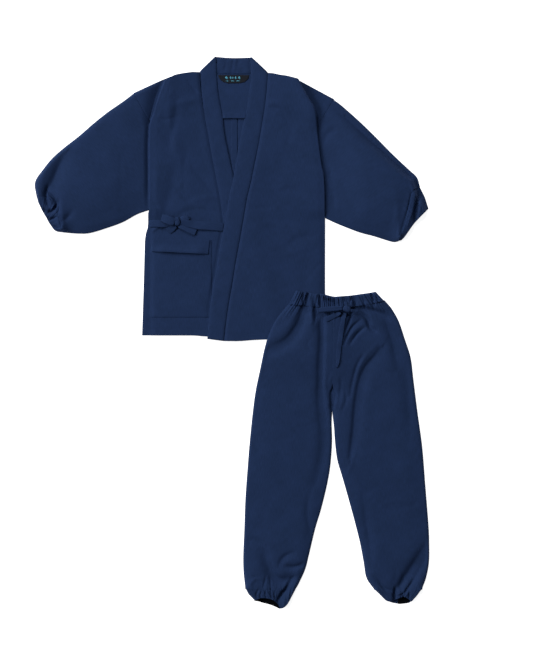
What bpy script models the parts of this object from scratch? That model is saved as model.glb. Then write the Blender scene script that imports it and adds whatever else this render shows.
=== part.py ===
"""Samue: a cotton work jacket that ties at the side and its drawstring trousers, laid out flat.

The jacket lies face up with its arms spread, and the trousers lie beside it with their waist on the
jacket's lower corner. Metres, +Z up, +Y towards the jacket's collar. Each garment is drawn in its own
frame: the jacket's origin is its hem below the collar, the trousers' origin is the crotch.

Every piece of cloth is a wall between two grids of points. The layers lie on each other, so a piece's
place in the pile is counted in layers of cloth, and folds only ever rise from there.
"""

import math

import bmesh
import bpy
import numpy as np

CLOTH = 0.0012
SEAM = 0.0003
SEAM_SHAPED = 0.0008
LAYER = CLOTH + SEAM
BAND = 2 * CLOTH
TIE = 0.0015

JACKET_AT = (0.0043, -0.0200)
TROUSERS_AT = (0.2836, -0.2252)

JACKET_LENGTH = 0.757
SLEEVE_BACK = (0.012, 0.25, 0.5, 0.75, 1.0)
MIDDLE_FRONT = 0.455
CENTRE_BACK = 0.010
LOOSE = 0.0005
WAIST_RISE = 0.0140
STRAP_CLIMB = 0.0038
PILE_UNDER_LAP = 4
PILE_UNDER_TROUSERS = 5

NAVY = "#1F2E4B"
NAVY_DEEP = "#1D2B48"
LABEL_BLACK = "#0D0D10"

# The wearer's right is on the left of the picture, towards -X.
SHOULDER_RIGHT = ((-0.205, 0.741), (-0.180, 0.751), (-0.154, 0.758), (-0.120, 0.764), (-0.099, 0.764))
SHOULDER_LEFT = ((0.180, 0.743), (0.154, 0.750), (0.131, 0.754), (0.114, 0.758), (0.098, 0.760))
POINT_RIGHT = (-0.286, 0.703)
POINT_LEFT = (0.285, 0.686)
TIP_RIGHT = (-0.242, 0.625)
TIP_LEFT = (0.2355, 0.605)

# The body bulges over the sleeve along these lines, from the shoulder to where the drop seam goes under.
FOLD_RIGHT = ((-0.205, 0.741), (-0.217, 0.710), (-0.229, 0.675), TIP_RIGHT)
FOLD_LEFT = ((0.180, 0.743), (0.207, 0.692), (0.228, 0.655), TIP_LEFT)
SIDE_RIGHT = (TIP_RIGHT, (-0.245, 0.564), (-0.245, 0.460), (-0.245, 0.368), (-0.242, 0.310), (-0.242, 0.170),
              (-0.242, 0.013))
SIDE_LEFT = (TIP_LEFT, (0.241, 0.562), (0.249, 0.502), (0.257, 0.456), (0.259, 0.345), (0.259, 0.134),
             (0.262, 0.006))

# The body covers the armhole seam below the tip by a few millimetres.
ARMHOLE_RIGHT = (TIP_RIGHT, (-0.2375, 0.600), (-0.2375, 0.500), (-0.2390, 0.371))
ARMHOLE_LEFT = (TIP_LEFT, (0.2330, 0.580), (0.2420, 0.502), (0.2500, 0.456), (0.2520, 0.351))
VENT_RIGHT = ((-0.245, 0.366), (-0.245, 0.336), (-0.246, 0.319), (-0.251, 0.305), (-0.254, 0.285),
              (-0.257, 0.171), (-0.262, 0.013))
VENT_LEFT = ((0.258, 0.346), (0.259, 0.134), (0.262, 0.006))

COLLAR_SEAM_RIGHT = ((-0.098, 0.762), (-0.093, 0.698), (-0.083, 0.633), (-0.073, 0.584), (-0.063, 0.527),
                     (-0.052, 0.470), (-0.040, 0.405), (-0.029, 0.331), (-0.002, 0.171), (0.025, 0.009))
COLLAR_FREE_RIGHT = ((-0.051, 0.806), (-0.048, 0.740), (-0.044, 0.698), (-0.033, 0.641), (-0.026, 0.584),
                     (-0.015, 0.530), (-0.001, 0.465), (0.009, 0.413), (0.023, 0.331), (0.050, 0.171),
                     (0.077, 0.009))
COLLAR_SEAM_LEFT = ((0.097, 0.760), (0.091, 0.690), (0.083, 0.633), (0.071, 0.564), (0.058, 0.499),
                    (0.046, 0.442), (0.037, 0.405), (0.026, 0.342), (0.016, 0.285), (0.003, 0.214),
                    (-0.006, 0.157), (-0.016, 0.100), (-0.024, 0.043), (-0.029, -0.003))
COLLAR_FREE_LEFT = ((0.047, 0.805), (0.049, 0.750), (0.043, 0.707), (0.036, 0.655), (0.023, 0.604),
                    (0.014, 0.556), (-0.001, 0.465), (-0.014, 0.405), (-0.027, 0.331), (-0.036, 0.285),
                    (-0.044, 0.239), (-0.053, 0.185), (-0.063, 0.128), (-0.071, 0.063), (-0.076, 0.003))
NECK_SEAM = ((-0.094, 0.764), (-0.050, 0.758), (0.000, JACKET_LENGTH), (0.047, JACKET_LENGTH), (0.092, 0.761))
NECK_TOP = ((-0.051, 0.807), (-0.011, 0.804), (0.020, 0.804), (0.047, 0.805))
HEM_RIGHT = ((-0.242, 0.013), (-0.125, 0.013), (-0.077, 0.010), (0.025, 0.009))
HEM_LEFT = ((0.262, 0.006), (0.080, 0.001), (0.017, -0.003), (-0.029, -0.003))

SLEEVE_TOP_RIGHT = (POINT_RIGHT, (-0.316, 0.680), (-0.359, 0.650), (-0.400, 0.617), (-0.442, 0.580),
                    (-0.485, 0.546), (-0.517, 0.517), (-0.543, 0.485), (-0.566, 0.449), (-0.5615, 0.4075))
SLEEVE_FOOT_RIGHT = ((-0.239, 0.371), (-0.276, 0.358), (-0.316, 0.336), (-0.359, 0.320), (-0.409, 0.305),
                     (-0.443, 0.303), (-0.487, 0.3065))
CUFF_SEAM_RIGHT = ((-0.5615, 0.4075), (-0.526, 0.402), (-0.505, 0.376), (-0.497, 0.342), (-0.487, 0.3065))
CUFF_HEM_RIGHT = ((-0.5486, 0.375), (-0.535, 0.351), (-0.523, 0.330), (-0.510, 0.312))

SLEEVE_TOP_LEFT = (POINT_LEFT, (0.310, 0.667), (0.359, 0.623), (0.405, 0.578), (0.450, 0.532), (0.496, 0.488),
                   (0.521, 0.464), (0.530, 0.436))
SLEEVE_FOOT_LEFT = ((0.252, 0.351), (0.283, 0.336), (0.314, 0.323), (0.359, 0.306), (0.397, 0.296),
                    (0.435, 0.284), (0.455, 0.279), (0.468, 0.281))
CUFF_SEAM_LEFT = ((0.530, 0.436), (0.507, 0.422), (0.496, 0.379), (0.487, 0.336), (0.468, 0.281))
CUFF_HEM_LEFT = ((0.554, 0.374), (0.527, 0.347), (0.507, 0.324), (0.486, 0.293))

YOKE_DEPTH = 0.126
LABEL = ((-0.0455, 0.7545), (0.0435, 0.7545), (0.0405, 0.744), (0.030, 0.735), (0.016, 0.7315), (-0.016, 0.7315),
         (-0.030, 0.735), (-0.0415, 0.744))
POCKET = (-0.2375, -0.0630, 0.0640, 0.2850)
FLAP = ((-0.2370, 0.2852), (-0.0685, 0.2852), (-0.0730, 0.2440), (-0.2345, 0.2520))

# Each fold: start, middle and end of its ridge, its height, and how far it slopes to its left and right.
FOLDS_FRONT_RIGHT = (
    ((-0.182, 0.690), (-0.182, 0.627), (-0.170, 0.547), 0.0030, 0.024, 0.012),
    ((-0.166, 0.672), (-0.128, 0.680), (-0.092, 0.678), 0.0016, 0.010, 0.010),
    ((-0.106, 0.484), (-0.080, 0.462), (-0.054, 0.432), 0.0020, 0.012, 0.009),
    ((-0.212, 0.470), (-0.203, 0.420), (-0.208, 0.372), 0.0030, 0.014, 0.012),
    ((-0.166, 0.450), (-0.142, 0.416), (-0.120, 0.384), 0.0026, 0.011, 0.010),
)
FOLDS_FRONT_LEFT = (
    ((0.097, 0.683), (0.130, 0.678), (0.152, 0.636), 0.0024, 0.014, 0.010),
    ((0.148, 0.630), (0.156, 0.590), (0.160, 0.548), 0.0022, 0.018, 0.012),
    ((0.130, 0.434), (0.165, 0.428), (0.205, 0.432), 0.0016, 0.012, 0.012),
    ((0.150, 0.262), (0.190, 0.282), (0.236, 0.298), 0.0018, 0.014, 0.012),
)
FOLDS_SLEEVE_RIGHT = (
    ((-0.512, 0.500), (-0.527, 0.462), (-0.543, 0.418), -0.0050, 0.012, 0.016),
    ((-0.529, 0.408), (-0.518, 0.385), (-0.516, 0.368), -0.0070, 0.009, 0.007),
    ((-0.499, 0.412), (-0.500, 0.371), (-0.496, 0.334), 0.0035, 0.007, 0.010),
    ((-0.486, 0.340), (-0.474, 0.346), (-0.460, 0.352), -0.0030, 0.010, 0.010),
)
FOLDS_SLEEVE_LEFT = (
    ((0.496, 0.420), (0.494, 0.365), (0.472, 0.300), -0.0040, 0.010, 0.009),
    ((0.507, 0.425), (0.505, 0.376), (0.490, 0.325), 0.0030, 0.008, 0.008),
    ((0.272, 0.606), (0.290, 0.588), (0.312, 0.566), -0.0020, 0.012, 0.012),
    ((0.268, 0.520), (0.290, 0.478), (0.300, 0.440), -0.0015, 0.014, 0.014),
)
FOLDS_LEG_RIGHT = (
    ((-0.118, 0.296), (-0.140, 0.245), (-0.186, 0.196), 0.0050, 0.024, 0.014),
    ((-0.094, 0.300), (-0.116, 0.226), (-0.182, 0.174), -0.0060, 0.012, 0.012),
    ((-0.034, 0.280), (-0.040, 0.110), (-0.032, -0.050), -0.0060, 0.013, 0.011),
    ((-0.032, -0.045), (-0.034, -0.120), (-0.052, -0.196), -0.0045, 0.013, 0.012),
    ((-0.228, -0.380), (-0.178, -0.440), (-0.146, -0.486), -0.0030, 0.016, 0.014),
    ((-0.126, -0.440), (-0.108, -0.444), (-0.088, -0.434), -0.0030, 0.008, 0.008),
    ((-0.114, -0.468), (-0.121, -0.500), (-0.150, -0.530), -0.0050, 0.008, 0.008),
)
FOLDS_LEG_LEFT = (
    ((0.066, 0.294), (0.146, 0.284), (0.186, 0.170), -0.0040, 0.012, 0.010),
    ((0.036, 0.262), (0.072, 0.258), (0.104, 0.228), -0.0040, 0.010, 0.010),
    ((0.134, 0.178), (0.077, 0.068), (0.0485, -0.086), -0.0050, 0.012, 0.011),
    ((0.118, 0.178), (0.056, 0.070), (0.036, -0.050), 0.0020, 0.012, 0.012),
    ((0.272, -0.386), (0.230, -0.450), (0.178, -0.508), -0.0055, 0.010, 0.010),
    ((0.254, -0.420), (0.246, -0.470), (0.222, -0.512), -0.0030, 0.008, 0.008),
)

WAIST_TOP = ((-0.103, 0.347), (-0.082, 0.344), (-0.054, 0.339), (-0.027, 0.336), (0.004, 0.329), (0.023, 0.330),
             (0.050, 0.332), (0.073, 0.335), (0.108, 0.340), (0.124, 0.343))
WAIST_SEAM = ((-0.124, 0.306), (-0.091, 0.304), (-0.034, 0.298), (0.023, 0.296), (0.066, 0.301), (0.108, 0.307),
              (0.149, 0.317))
WAIST_SIDE_RIGHT = ((-0.103, 0.347), (-0.114, 0.325), (-0.124, 0.306))
WAIST_SIDE_LEFT = ((0.124, 0.343), (0.138, 0.328), (0.149, 0.317))
LEG_OUTER_RIGHT = ((-0.124, 0.306), (-0.151, 0.274), (-0.167, 0.249), (-0.182, 0.214), (-0.193, 0.177),
                   (-0.205, 0.120), (-0.217, 0.063), (-0.225, 0.006), (-0.234, -0.080), (-0.241, -0.165),
                   (-0.247, -0.251), (-0.250, -0.336), (-0.253, -0.408), (-0.252, -0.456), (-0.247, -0.502))
LEG_OUTER_LEFT = ((0.149, 0.317), (0.162, 0.303), (0.175, 0.285), (0.191, 0.255), (0.208, 0.205),
                  (0.224, 0.154), (0.232, 0.091), (0.243, 0.003), (0.257, -0.100), (0.266, -0.211),
                  (0.275, -0.325), (0.277, -0.382), (0.276, -0.430), (0.268, -0.472), (0.256, -0.504))
LEG_INNER_RIGHT = ((0.0005, 0.2952), (0.0005, 0.200), (0.0005, 0.100), (-0.001, 0.000), (-0.001, -0.035),
                   (0.000, -0.088), (-0.005, -0.154), (-0.015, -0.211), (-0.031, -0.276), (-0.048, -0.333),
                   (-0.066, -0.408), (-0.076, -0.447), (-0.093, -0.485), (-0.101, -0.500))
LEG_INNER_LEFT = ((0.0008, 0.2952), (0.0008, 0.200), (0.0008, 0.100), (0.003, 0.000), (0.006, -0.048),
                  (0.009, -0.092), (0.015, -0.137), (0.027, -0.178), (0.039, -0.219), (0.056, -0.280),
                  (0.068, -0.325), (0.080, -0.374), (0.090, -0.427), (0.098, -0.472), (0.120, -0.505))
ANKLE_SEAM_RIGHT = ((-0.247, -0.502), (-0.200, -0.506), (-0.150, -0.503), (-0.101, -0.500))
ANKLE_SEAM_LEFT = ((0.256, -0.504), (0.210, -0.513), (0.165, -0.512), (0.120, -0.505))
ANKLE_OUTER_RIGHT = ((-0.247, -0.502), (-0.238, -0.519), (-0.221, -0.536))
ANKLE_INNER_RIGHT = ((-0.101, -0.500), (-0.109, -0.515), (-0.117, -0.530))
ANKLE_OUTER_LEFT = ((0.256, -0.504), (0.241, -0.524), (0.226, -0.540))
ANKLE_INNER_LEFT = ((0.120, -0.505), (0.133, -0.517), (0.153, -0.537))
ANKLE_HEM_RIGHT = ((-0.221, -0.536), (-0.200, -0.529), (-0.177, -0.532), (-0.157, -0.540), (-0.147, -0.558),
                   (-0.131, -0.551), (-0.117, -0.530))
ANKLE_BACK_RIGHT = ((-0.221, -0.537), (-0.196, -0.545), (-0.177, -0.549), (-0.160, -0.556), (-0.148, -0.562),
                    (-0.131, -0.553), (-0.117, -0.531))
ANKLE_HEM_LEFT = ((0.226, -0.540), (0.216, -0.534), (0.202, -0.531), (0.185, -0.533), (0.170, -0.539),
                  (0.153, -0.537))
ANKLE_BACK_LEFT = ((0.226, -0.541), (0.217, -0.546), (0.198, -0.548), (0.182, -0.547), (0.168, -0.544),
                   (0.153, -0.538))

# Where the trousers lie on the jacket they start this far up, and come down to the floor beyond it.
LIFT_EDGE_X = 0.005
LIFT_EDGE_Y = 0.172
LIFT_RUN_X = 0.085
LIFT_RUN_Y = 0.110

# A tie: x and y of its middle line, and its width there.
TIE_FRONT = ((-0.0317, 0.3205, 0.020), (-0.045, 0.3220, 0.020), (-0.070, 0.3245, 0.020),
             (-0.100, 0.3265, 0.020), (-0.125, 0.3300, 0.019), (-0.149, 0.3340, 0.016))
TIE_SIDE = ((-0.2405, 0.3315, 0.020), (-0.222, 0.3315, 0.020), (-0.200, 0.3300, 0.020),
            (-0.183, 0.3320, 0.017), (-0.170, 0.3340, 0.014))
TAIL_RIGHT = ((-0.1475, 0.3290, 0.013), (-0.136, 0.3230, 0.017), (-0.121, 0.3150, 0.019),
              (-0.1075, 0.3080, 0.019))
TAIL_LEFT = ((-0.1700, 0.3275, 0.012), (-0.1760, 0.3200, 0.018), (-0.1850, 0.3110, 0.019))
BOW_LOOP_LEFT = ((-0.1731, 0.3375, 0.012), (-0.1820, 0.3410, 0.018), (-0.1930, 0.3450, 0.019),
                 (-0.2020, 0.3480, 0.016))
BOW_LOOP_RIGHT = ((-0.1444, 0.3395, 0.012), (-0.1380, 0.3430, 0.017), (-0.1320, 0.3460, 0.018),
                  (-0.1260, 0.3480, 0.014))
BOW_KNOT = (-0.1590, 0.3350, 0.0225, 0.0210, 0.0062)

STRING_LOOP = ((0.0290, 0.2960, 0.011), (0.0120, 0.2940, 0.014), (-0.0100, 0.2915, 0.015), (-0.0270, 0.2900, 0.015),
               (-0.0350, 0.2890, 0.013))
STRING_KNOT = (0.0410, 0.2935, 0.0215, 0.0170, 0.0075)
STRING_END = ((0.0235, 0.2835, 0.009), (0.0140, 0.2785, 0.012), (0.0000, 0.2715, 0.014), (-0.0190, 0.2635, 0.015))
STRING_TAIL = ((0.0365, 0.2830, 0.011), (0.0310, 0.2650, 0.013), (0.0270, 0.2400, 0.014), (0.0235, 0.2150, 0.014),
               (0.0200, 0.1900, 0.014), (0.0175, 0.1650, 0.013), (0.0160, 0.1450, 0.011), (0.0130, 0.1280, 0.006))
STRING_STRAP = ((0.0524, 0.2890, 0.008), (0.0620, 0.2885, 0.008), (0.0715, 0.2880, 0.007))


def ease(share):
    """Goes from 0 to 1 with level ends, as 3t^2 - 2t^3."""
    share = np.clip(share, 0, 1)
    return share * share * (3 - 2 * share)


def smooth_line(points, steps=10):
    """A smooth line through a few points: a Catmull-Rom curve, in short straight steps."""
    points = np.array(points, float)
    ends = np.vstack([2 * points[0] - points[1], points, 2 * points[-1] - points[-2]])
    time = np.linspace(0, 1, steps, endpoint=False)[:, None]
    runs = []
    for before, start, end, after in zip(ends, ends[1:], ends[2:], ends[3:]):
        cubic = 3 * (start - end) + after - before
        square = 2 * before - 5 * start + 4 * end - after
        runs.append(start + 0.5 * time * (end - before + time * (square + time * cubic)))
    return np.vstack(runs + [points[-1:]])


def along(line, shares):
    """The points at these shares of a line's length."""
    line = np.asarray(line, float)
    length = np.concatenate([[0], np.cumsum(np.linalg.norm(np.diff(line, axis=0), axis=1))])
    return np.stack([np.interp(np.asarray(shares) * length[-1], length, axis) for axis in line.T], axis=1)


def beside(line, distance):
    """The same line moved to its left by a distance."""
    line = np.asarray(line, float)
    run = np.gradient(line, axis=0)
    run /= np.linalg.norm(run, axis=1, keepdims=True)
    return line + distance * np.stack([-run[:, 1], run[:, 0]], axis=1)


def patch(left, right, top, bottom, across, down):
    """A grid between four edge lines that share their corners: each edge carried over, less the corners."""
    u = np.asarray(across)[None, :, None]
    v = np.asarray(down)[:, None, None]
    left, right = along(left, down)[:, None], along(right, down)[:, None]
    ends = along(np.asarray(top), (0, 1)), along(np.asarray(bottom), (0, 1))
    top, bottom = along(top, across)[None], along(bottom, across)[None]
    corners = (1 - v) * ((1 - u) * ends[0][0] + u * ends[0][1]) + v * ((1 - u) * ends[1][0] + u * ends[1][1])
    return (1 - u) * left + u * right + (1 - v) * top + v * bottom - corners


def folds(points, table):
    """Height of the folds at some points: each is a soft ridge along a bent line, fading at its ends."""
    height = np.zeros(points.shape[:-1])
    for start, middle, end, rise, to_left, to_right in table:
        line = along(smooth_line((start, middle, end)), np.linspace(0, 1, 9))
        nearest = np.full(height.shape, np.inf)
        signed = np.zeros(height.shape)
        share = np.zeros(height.shape)
        for step, (tail, head) in enumerate(zip(line, line[1:])):
            run = head - tail
            time = np.clip(((points - tail) @ run) / (run @ run), 0, 1)
            away = points - tail - time[..., None] * run
            distance = np.linalg.norm(away, axis=-1)
            side = np.sign(run[0] * away[..., 1] - run[1] * away[..., 0])
            closer = distance < nearest
            nearest = np.where(closer, distance, nearest)
            signed = np.where(closer, side * distance, signed)
            share = np.where(closer, (step + time) / 8, share)
        width = np.where(signed > 0, to_left, to_right)
        height += rise * np.exp(-((signed / width) ** 2)) * np.sin(math.pi * (0.12 + 0.76 * share)) ** 0.7
    return height


def stand(grid, height):
    """A flat grid of points lifted to a height."""
    return np.concatenate([grid, np.broadcast_to(height, grid.shape[:2])[..., None]], axis=2)


def linear(hexa):
    """An sRGB hex colour as linear red, green, blue and alpha."""
    parts = [int(hexa[place:place + 2], 16) / 255 for place in (1, 3, 5)]
    return [part / 12.92 if part <= 0.04045 else ((part + 0.055) / 1.055) ** 2.4 for part in parts] + [1.0]


def material(name, hexa, roughness):
    made = bpy.data.materials.new(name)
    made.use_nodes = True
    shader = made.node_tree.nodes["Principled BSDF"]
    shader.inputs["Base Color"].default_value = linear(hexa)
    shader.inputs["Roughness"].default_value = roughness
    shader.inputs["Metallic"].default_value = 0.0
    made.diffuse_color = linear(hexa)
    return made


def add_object(name, data, cloth):
    made = bpy.data.objects.new(name, data)
    data.materials.append(cloth)
    bpy.data.collections["samue"].objects.link(made)
    return made


def wall(name, outer, inner, cloth, at, ring=False):
    """A piece of cloth between an outer and an inner grid. The grid of a ring joins its last column to its first."""
    rows, columns = outer.shape[:2]
    near = np.arange(rows * columns).reshape(rows, columns)
    if ring:
        near = np.hstack([near, near[:, :1]])
    far = near + rows * columns
    faces = []
    for grid, turn in ((near, 1), (far, -1)):
        quads = np.stack([grid[:-1, :-1], grid[1:, :-1], grid[1:, 1:], grid[:-1, 1:]], axis=-1)
        faces.append(quads.reshape(-1, 4)[:, ::turn])
    rims = [(near[0], far[0]), (near[-1], far[-1])]
    if not ring:
        rims += [(near[:, 0], far[:, 0]), (near[:, -1], far[:, -1])]
    for edge, other in rims:
        faces.append(np.stack([edge[:-1], edge[1:], other[1:], other[:-1]], axis=-1))
    points = np.concatenate([outer.reshape(-1, 3), inner.reshape(-1, 3)]) + (*at, 0)
    mesh = bpy.data.meshes.new(name)
    mesh.from_pydata(points.tolist(), [], np.concatenate(faces).tolist())
    cage = bmesh.new()
    cage.from_mesh(mesh)
    bmesh.ops.remove_doubles(cage, verts=cage.verts, dist=1e-6)
    bmesh.ops.recalc_face_normals(cage, faces=cage.faces)
    cage.to_mesh(mesh)
    cage.free()
    mesh.shade_smooth()
    mesh.set_sharp_from_angle(angle=math.radians(50))
    return add_object(name, mesh, cloth)


def panel(name, grid, underside, cloth, at):
    """One layer of cloth over a grid, from the height of its underside."""
    return wall(name, stand(grid, underside + CLOTH), stand(grid, underside), cloth, at)


def tube(name, lines, down, low, high, floor, puff, cloth, at, ring=True, back=None):
    """A flattened tube: a lower layer on the floor, a turn at the edge, and an upper layer that puffs up.

    lines are its left, right, top and bottom edges, low and high the columns of its two layers. A ring turns
    at both edges; any other piece is folded at its left edge only and open at the right. back is the lower
    layer's own bottom edge, where it reaches further than the upper one.
    """
    left, right, top, bottom = lines
    under = patch(left, right, top, bottom if back is None else back, low[::-1], down)
    over = patch(left, right, top, bottom, high, down)
    ledge = floor(over) + LAYER + puff(over)
    outer = [stand(under, floor(under)), stand(over, ledge + CLOTH)]
    inner = [stand(under, floor(under) + CLOTH), stand(over, ledge)]
    turns = [(0.0, high[0] * 0.7, 1)]
    if ring:
        turns.append((1.0, 1 - (1 - high[-1]) * 0.7, len(outer) + 1))
    for share, tucked, place in turns:
        edge = patch(left, right, top, bottom, (share,), down)
        inside = patch(left, right, top, bottom, (tucked,), down)
        middle = floor(edge) + (LAYER + CLOTH) / 2
        outer.insert(place, stand(edge, middle))
        inner.insert(place, stand(inside, middle))
    return wall(name, np.hstack(outer), np.hstack(inner), cloth, at, ring)


def flat(name, outline, underside, thickness, cloth, at):
    """A flat piece cut along an outline: a filled 2D curve with its thickness as an extrusion."""
    data = bpy.data.curves.new(name, "CURVE")
    data.dimensions = "2D"
    data.fill_mode = "BOTH"
    data.extrude = thickness / 2
    spline = data.splines.new("POLY")
    spline.points.add(len(outline) - 1)
    for point, (x, y) in zip(spline.points, outline):
        point.co = (x, y, 0, 1)
    spline.use_cyclic_u = True
    made = add_object(name, data, cloth)
    made.location = (*at, underside + thickness / 2)
    return made


def ribbon(line, widths):
    """Three points across a tie at each step of its middle line, and the way it runs there."""
    run = np.gradient(line, axis=0)
    run /= np.linalg.norm(run, axis=1, keepdims=True)
    sideways = np.stack([-run[:, 1], run[:, 0]], axis=1)
    offset = np.array((-0.5, 0.0, 0.5)) * widths[:, None]
    return line[:, None] + offset[..., None] * sideways[:, None], run


def tie(name, table, bed, cloth, at, rows):
    """A length of tie on its bed, the height of what it lies on, a little raised along its middle."""
    line = along(smooth_line(table), np.linspace(0, 1, rows))
    grid, _ = ribbon(line[:, :2], line[:, 2])
    return wall(name, stand(grid, bed(grid) + TIE + (0, 0.0005, 0)), stand(grid, bed(grid)), cloth, at)


def loop(name, table, bed, rise, cloth, at):
    """A tie folded back on itself: out along its lower layer, round the end and back on top."""
    line = along(smooth_line(table), np.linspace(0, 1, 6))
    grid, run = ribbon(line[:, :2], line[:, 2])
    floor = bed(grid)
    arch = rise * (0.55 + 0.45 * np.sin(math.pi * np.linspace(0.1, 0.9, len(line))))[:, None]
    top, turn = floor + arch, (floor + arch / 2)[-1:]
    outer = [stand(grid, floor), stand(grid[-1:] + rise / 2 * run[-1], turn), stand(grid[::-1], top[::-1])]
    inner = [stand(grid, floor + CLOTH), stand(grid[-1:] - SEAM * run[-1], turn),
             stand(grid[::-1], top[::-1] - CLOTH)]
    return wall(name, np.vstack(outer), np.vstack(inner), cloth, at)


def pile(layers):
    """A level bed this many layers up."""
    return lambda grid: np.full(grid.shape[:2], layers * LAYER)


def knot(name, place, underside, cloth, at):
    """A tied knot: a block with a soft round form, flat below where it lies on the tie."""
    x, y, length, width, height = place
    bpy.ops.mesh.primitive_cube_add(size=1)
    made = bpy.context.object
    made.name = made.data.name = name
    made.location = (at[0] + x, at[1] + y, underside + height / 2)
    made.scale = (length, width, height)
    bpy.ops.object.transform_apply(location=False, rotation=False, scale=True)
    edges = made.modifiers.new("Round edges", "BEVEL")
    edges.width = 0.4 * height
    edges.segments = 3
    made.data.materials.append(cloth)
    for holder in list(made.users_collection):
        holder.objects.unlink(made)
    bpy.data.collections["samue"].objects.link(made)
    return made


def jacket_front(name, side, fold, seam, top, hem, tongue, lift, table, cloth):
    """A front: the panel inside the armhole fold, and the dropped shoulder that goes down over the arm."""
    drop = 5
    share = 0.16
    down = np.concatenate([np.linspace(0, share, drop), np.linspace(share, 1, 23)[1:]])
    across = np.array((0, 0.02, 0.05, 0.10, 0.19, 0.30, 0.42, 0.55, 0.69, 0.84, 1.0))
    outside = np.vstack([along(smooth_line(fold), down[:drop] / share),
                         along(smooth_line(side), (down[drop:] - share) / (1 - share))])
    right = along(seam, down)
    u = across[None, :, None]
    v = down[:, None, None]
    first, last = along(smooth_line(top), across), along(smooth_line(hem), across)
    ruled = (1 - u) * outside[:, None] + u * right[:, None]
    ends = (1 - v) * (first - (1 - u[0]) * first[0] - u[0] * first[-1]) + v * (last - (1 - u[0]) * last[0] - u[0] * last[-1])
    grid = ruled + ends
    away = np.linalg.norm(grid - outside[:, None], axis=2)
    below = ease((0.335 - grid[..., 1]) / 0.035)
    lip = 0.0026 * np.exp(-(((away - 0.011) / 0.009) ** 2)) * ease((grid[..., 1] - 0.34) / 0.05) * ease(away / 0.004)
    underside = 2 * LAYER - LAYER * below * (1 - ease(away / 0.014)) + lip
    underside = underside + lift(grid) + folds(grid, table) * ease(away / 0.03)
    towards = np.sign(outside[0, 0])
    seam_edge = along(tongue, np.linspace(0, 1, drop))
    inner_edge = outside[:drop] + (towards * 0.0035, 0)
    flap = np.repeat(outside[:, None], 4, axis=1)
    height = np.repeat(underside[:, :1], 4, axis=1)
    for column, part in enumerate((0, 0.4, 0.8, 1.0)):
        flap[:drop - 1, column] = seam_edge[:-1] * (1 - part) + inner_edge[:-1] * part
    height[:drop - 1] = LAYER
    grid = np.concatenate([flap, grid], axis=1)
    underside = np.concatenate([height, underside], axis=1)
    return panel(name, grid, underside, cloth, JACKET_AT)


def collar_lift(grid):
    """How far the wearer's left front climbs over the right one: all the way beside the overlap, less above it."""
    x, y = grid[..., 0], grid[..., 1]
    climb = (PILE_UNDER_LAP - 2) * LAYER * ease((0.61 - y) / 0.11)
    hidden = -0.001 + 0.171 * (0.465 - y) + 0.026
    seam = np.interp(y, (0.0, 0.285, 0.564, 0.690), (-0.029, 0.016, 0.071, 0.091)) + 0.006
    return climb * ease((np.maximum(hidden, seam) + 0.075 - x) / 0.075)


def trousers_floor(grid):
    """Height of the trousers' underside: up on the jacket's corner, down on the floor elsewhere."""
    x, y = grid[..., 0], grid[..., 1]
    over = ease((LIFT_EDGE_X + LIFT_RUN_X - x) / LIFT_RUN_X) * ease((y - LIFT_EDGE_Y + LIFT_RUN_Y) / LIFT_RUN_Y)
    return PILE_UNDER_TROUSERS * LAYER * over


def on_floor(grid):
    return np.zeros(grid.shape[:2])


def crown(across, height, roll, joined=0.0):
    """A puffed panel: it climbs from its edges over a share of its width and stays level between.

    height and joined are given row by row. Where joined is 1, the right edge runs on into a neighbour.
    """
    right = 1 - across[None, :] + np.asarray(joined)[..., None]
    edge = np.minimum(across[None, :], right)
    return np.asarray(height)[:, None] * np.sin(0.5 * math.pi * np.clip(edge / roll, 0, 1))


def leg_rise(y):
    """How high the front of a leg stands over its back: most below the waist and above the ankle."""
    return 0.0054 + 0.0035 * ease((y - 0.06) / 0.22) + 0.0030 * ease((-0.34 - y) / 0.15)


def gathers(across, count, phase):
    """Uneven gathers: a wave whose length and height change along the hem."""
    warped = across + 0.018 * np.sin(9.0 * across + phase) + 0.008 * np.sin(23.0 * across + 2 * phase)
    wave = 0.5 - 0.5 * np.cos(2 * math.pi * count * warped)
    return wave * (0.65 + 0.35 * np.sin(14.0 * across + phase))


def sleeve(side, lines, cuff_lines, table, count, cloth):
    """A sleeve folded along its top edge, and the gathered cuff on its end."""
    name = "right" if side < 0 else "left"
    top_edge, foot, armhole, seam = lines
    cuff_top, cuff_foot, cuff_hem = cuff_lines
    tucked = 0.035
    down = np.concatenate([[0], np.linspace(tucked, 1, 14)])
    high = np.array((0.012, 0.04, 0.09, 0.16, 0.25, 0.36, 0.48, 0.60, 0.71, 0.81, 0.90, 0.96, 1.0))
    low = np.array(SLEEVE_BACK)

    def puff(grid):
        body = crown(high, 0.0015 + 0.0075 * ease(down / 0.45), 0.16)
        return np.maximum((body + folds(grid, table)) * ease((down - tucked) / 0.12)[:, None], 0)

    tube(f"sleeve_{name}", lines, down, low, high, on_floor, puff, cloth, JACKET_AT, ring=False)
    joined = beside(along(seam, np.concatenate([[0], high])), side * SEAM_SHAPED)
    cuff_top, cuff_foot = np.array((joined[0],) + cuff_top), np.array((joined[-1],) + cuff_foot)
    fine = np.linspace(0.02, 0.98, 4 * count + 1)
    steps = np.array((0.0, 0.35, 0.7, 1.0))

    def ruffle(grid):
        body = crown(fine, 0.0055 - 0.001 * steps, 0.12)
        wave = gathers(fine, count, 1.3)[None] * (0.0015 + 0.0035 * ease(steps))[:, None]
        return body * 0.75 + wave * ease(np.minimum(fine, 1 - fine) / 0.05)

    band_low = np.array((0.02, 0.25, 0.5, 0.75, 0.98))
    tube(f"cuff_{name}", (cuff_top, cuff_foot, joined, smooth_line(cuff_hem)), steps, band_low, fine, on_floor,
         ruffle, cloth, JACKET_AT)


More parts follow.
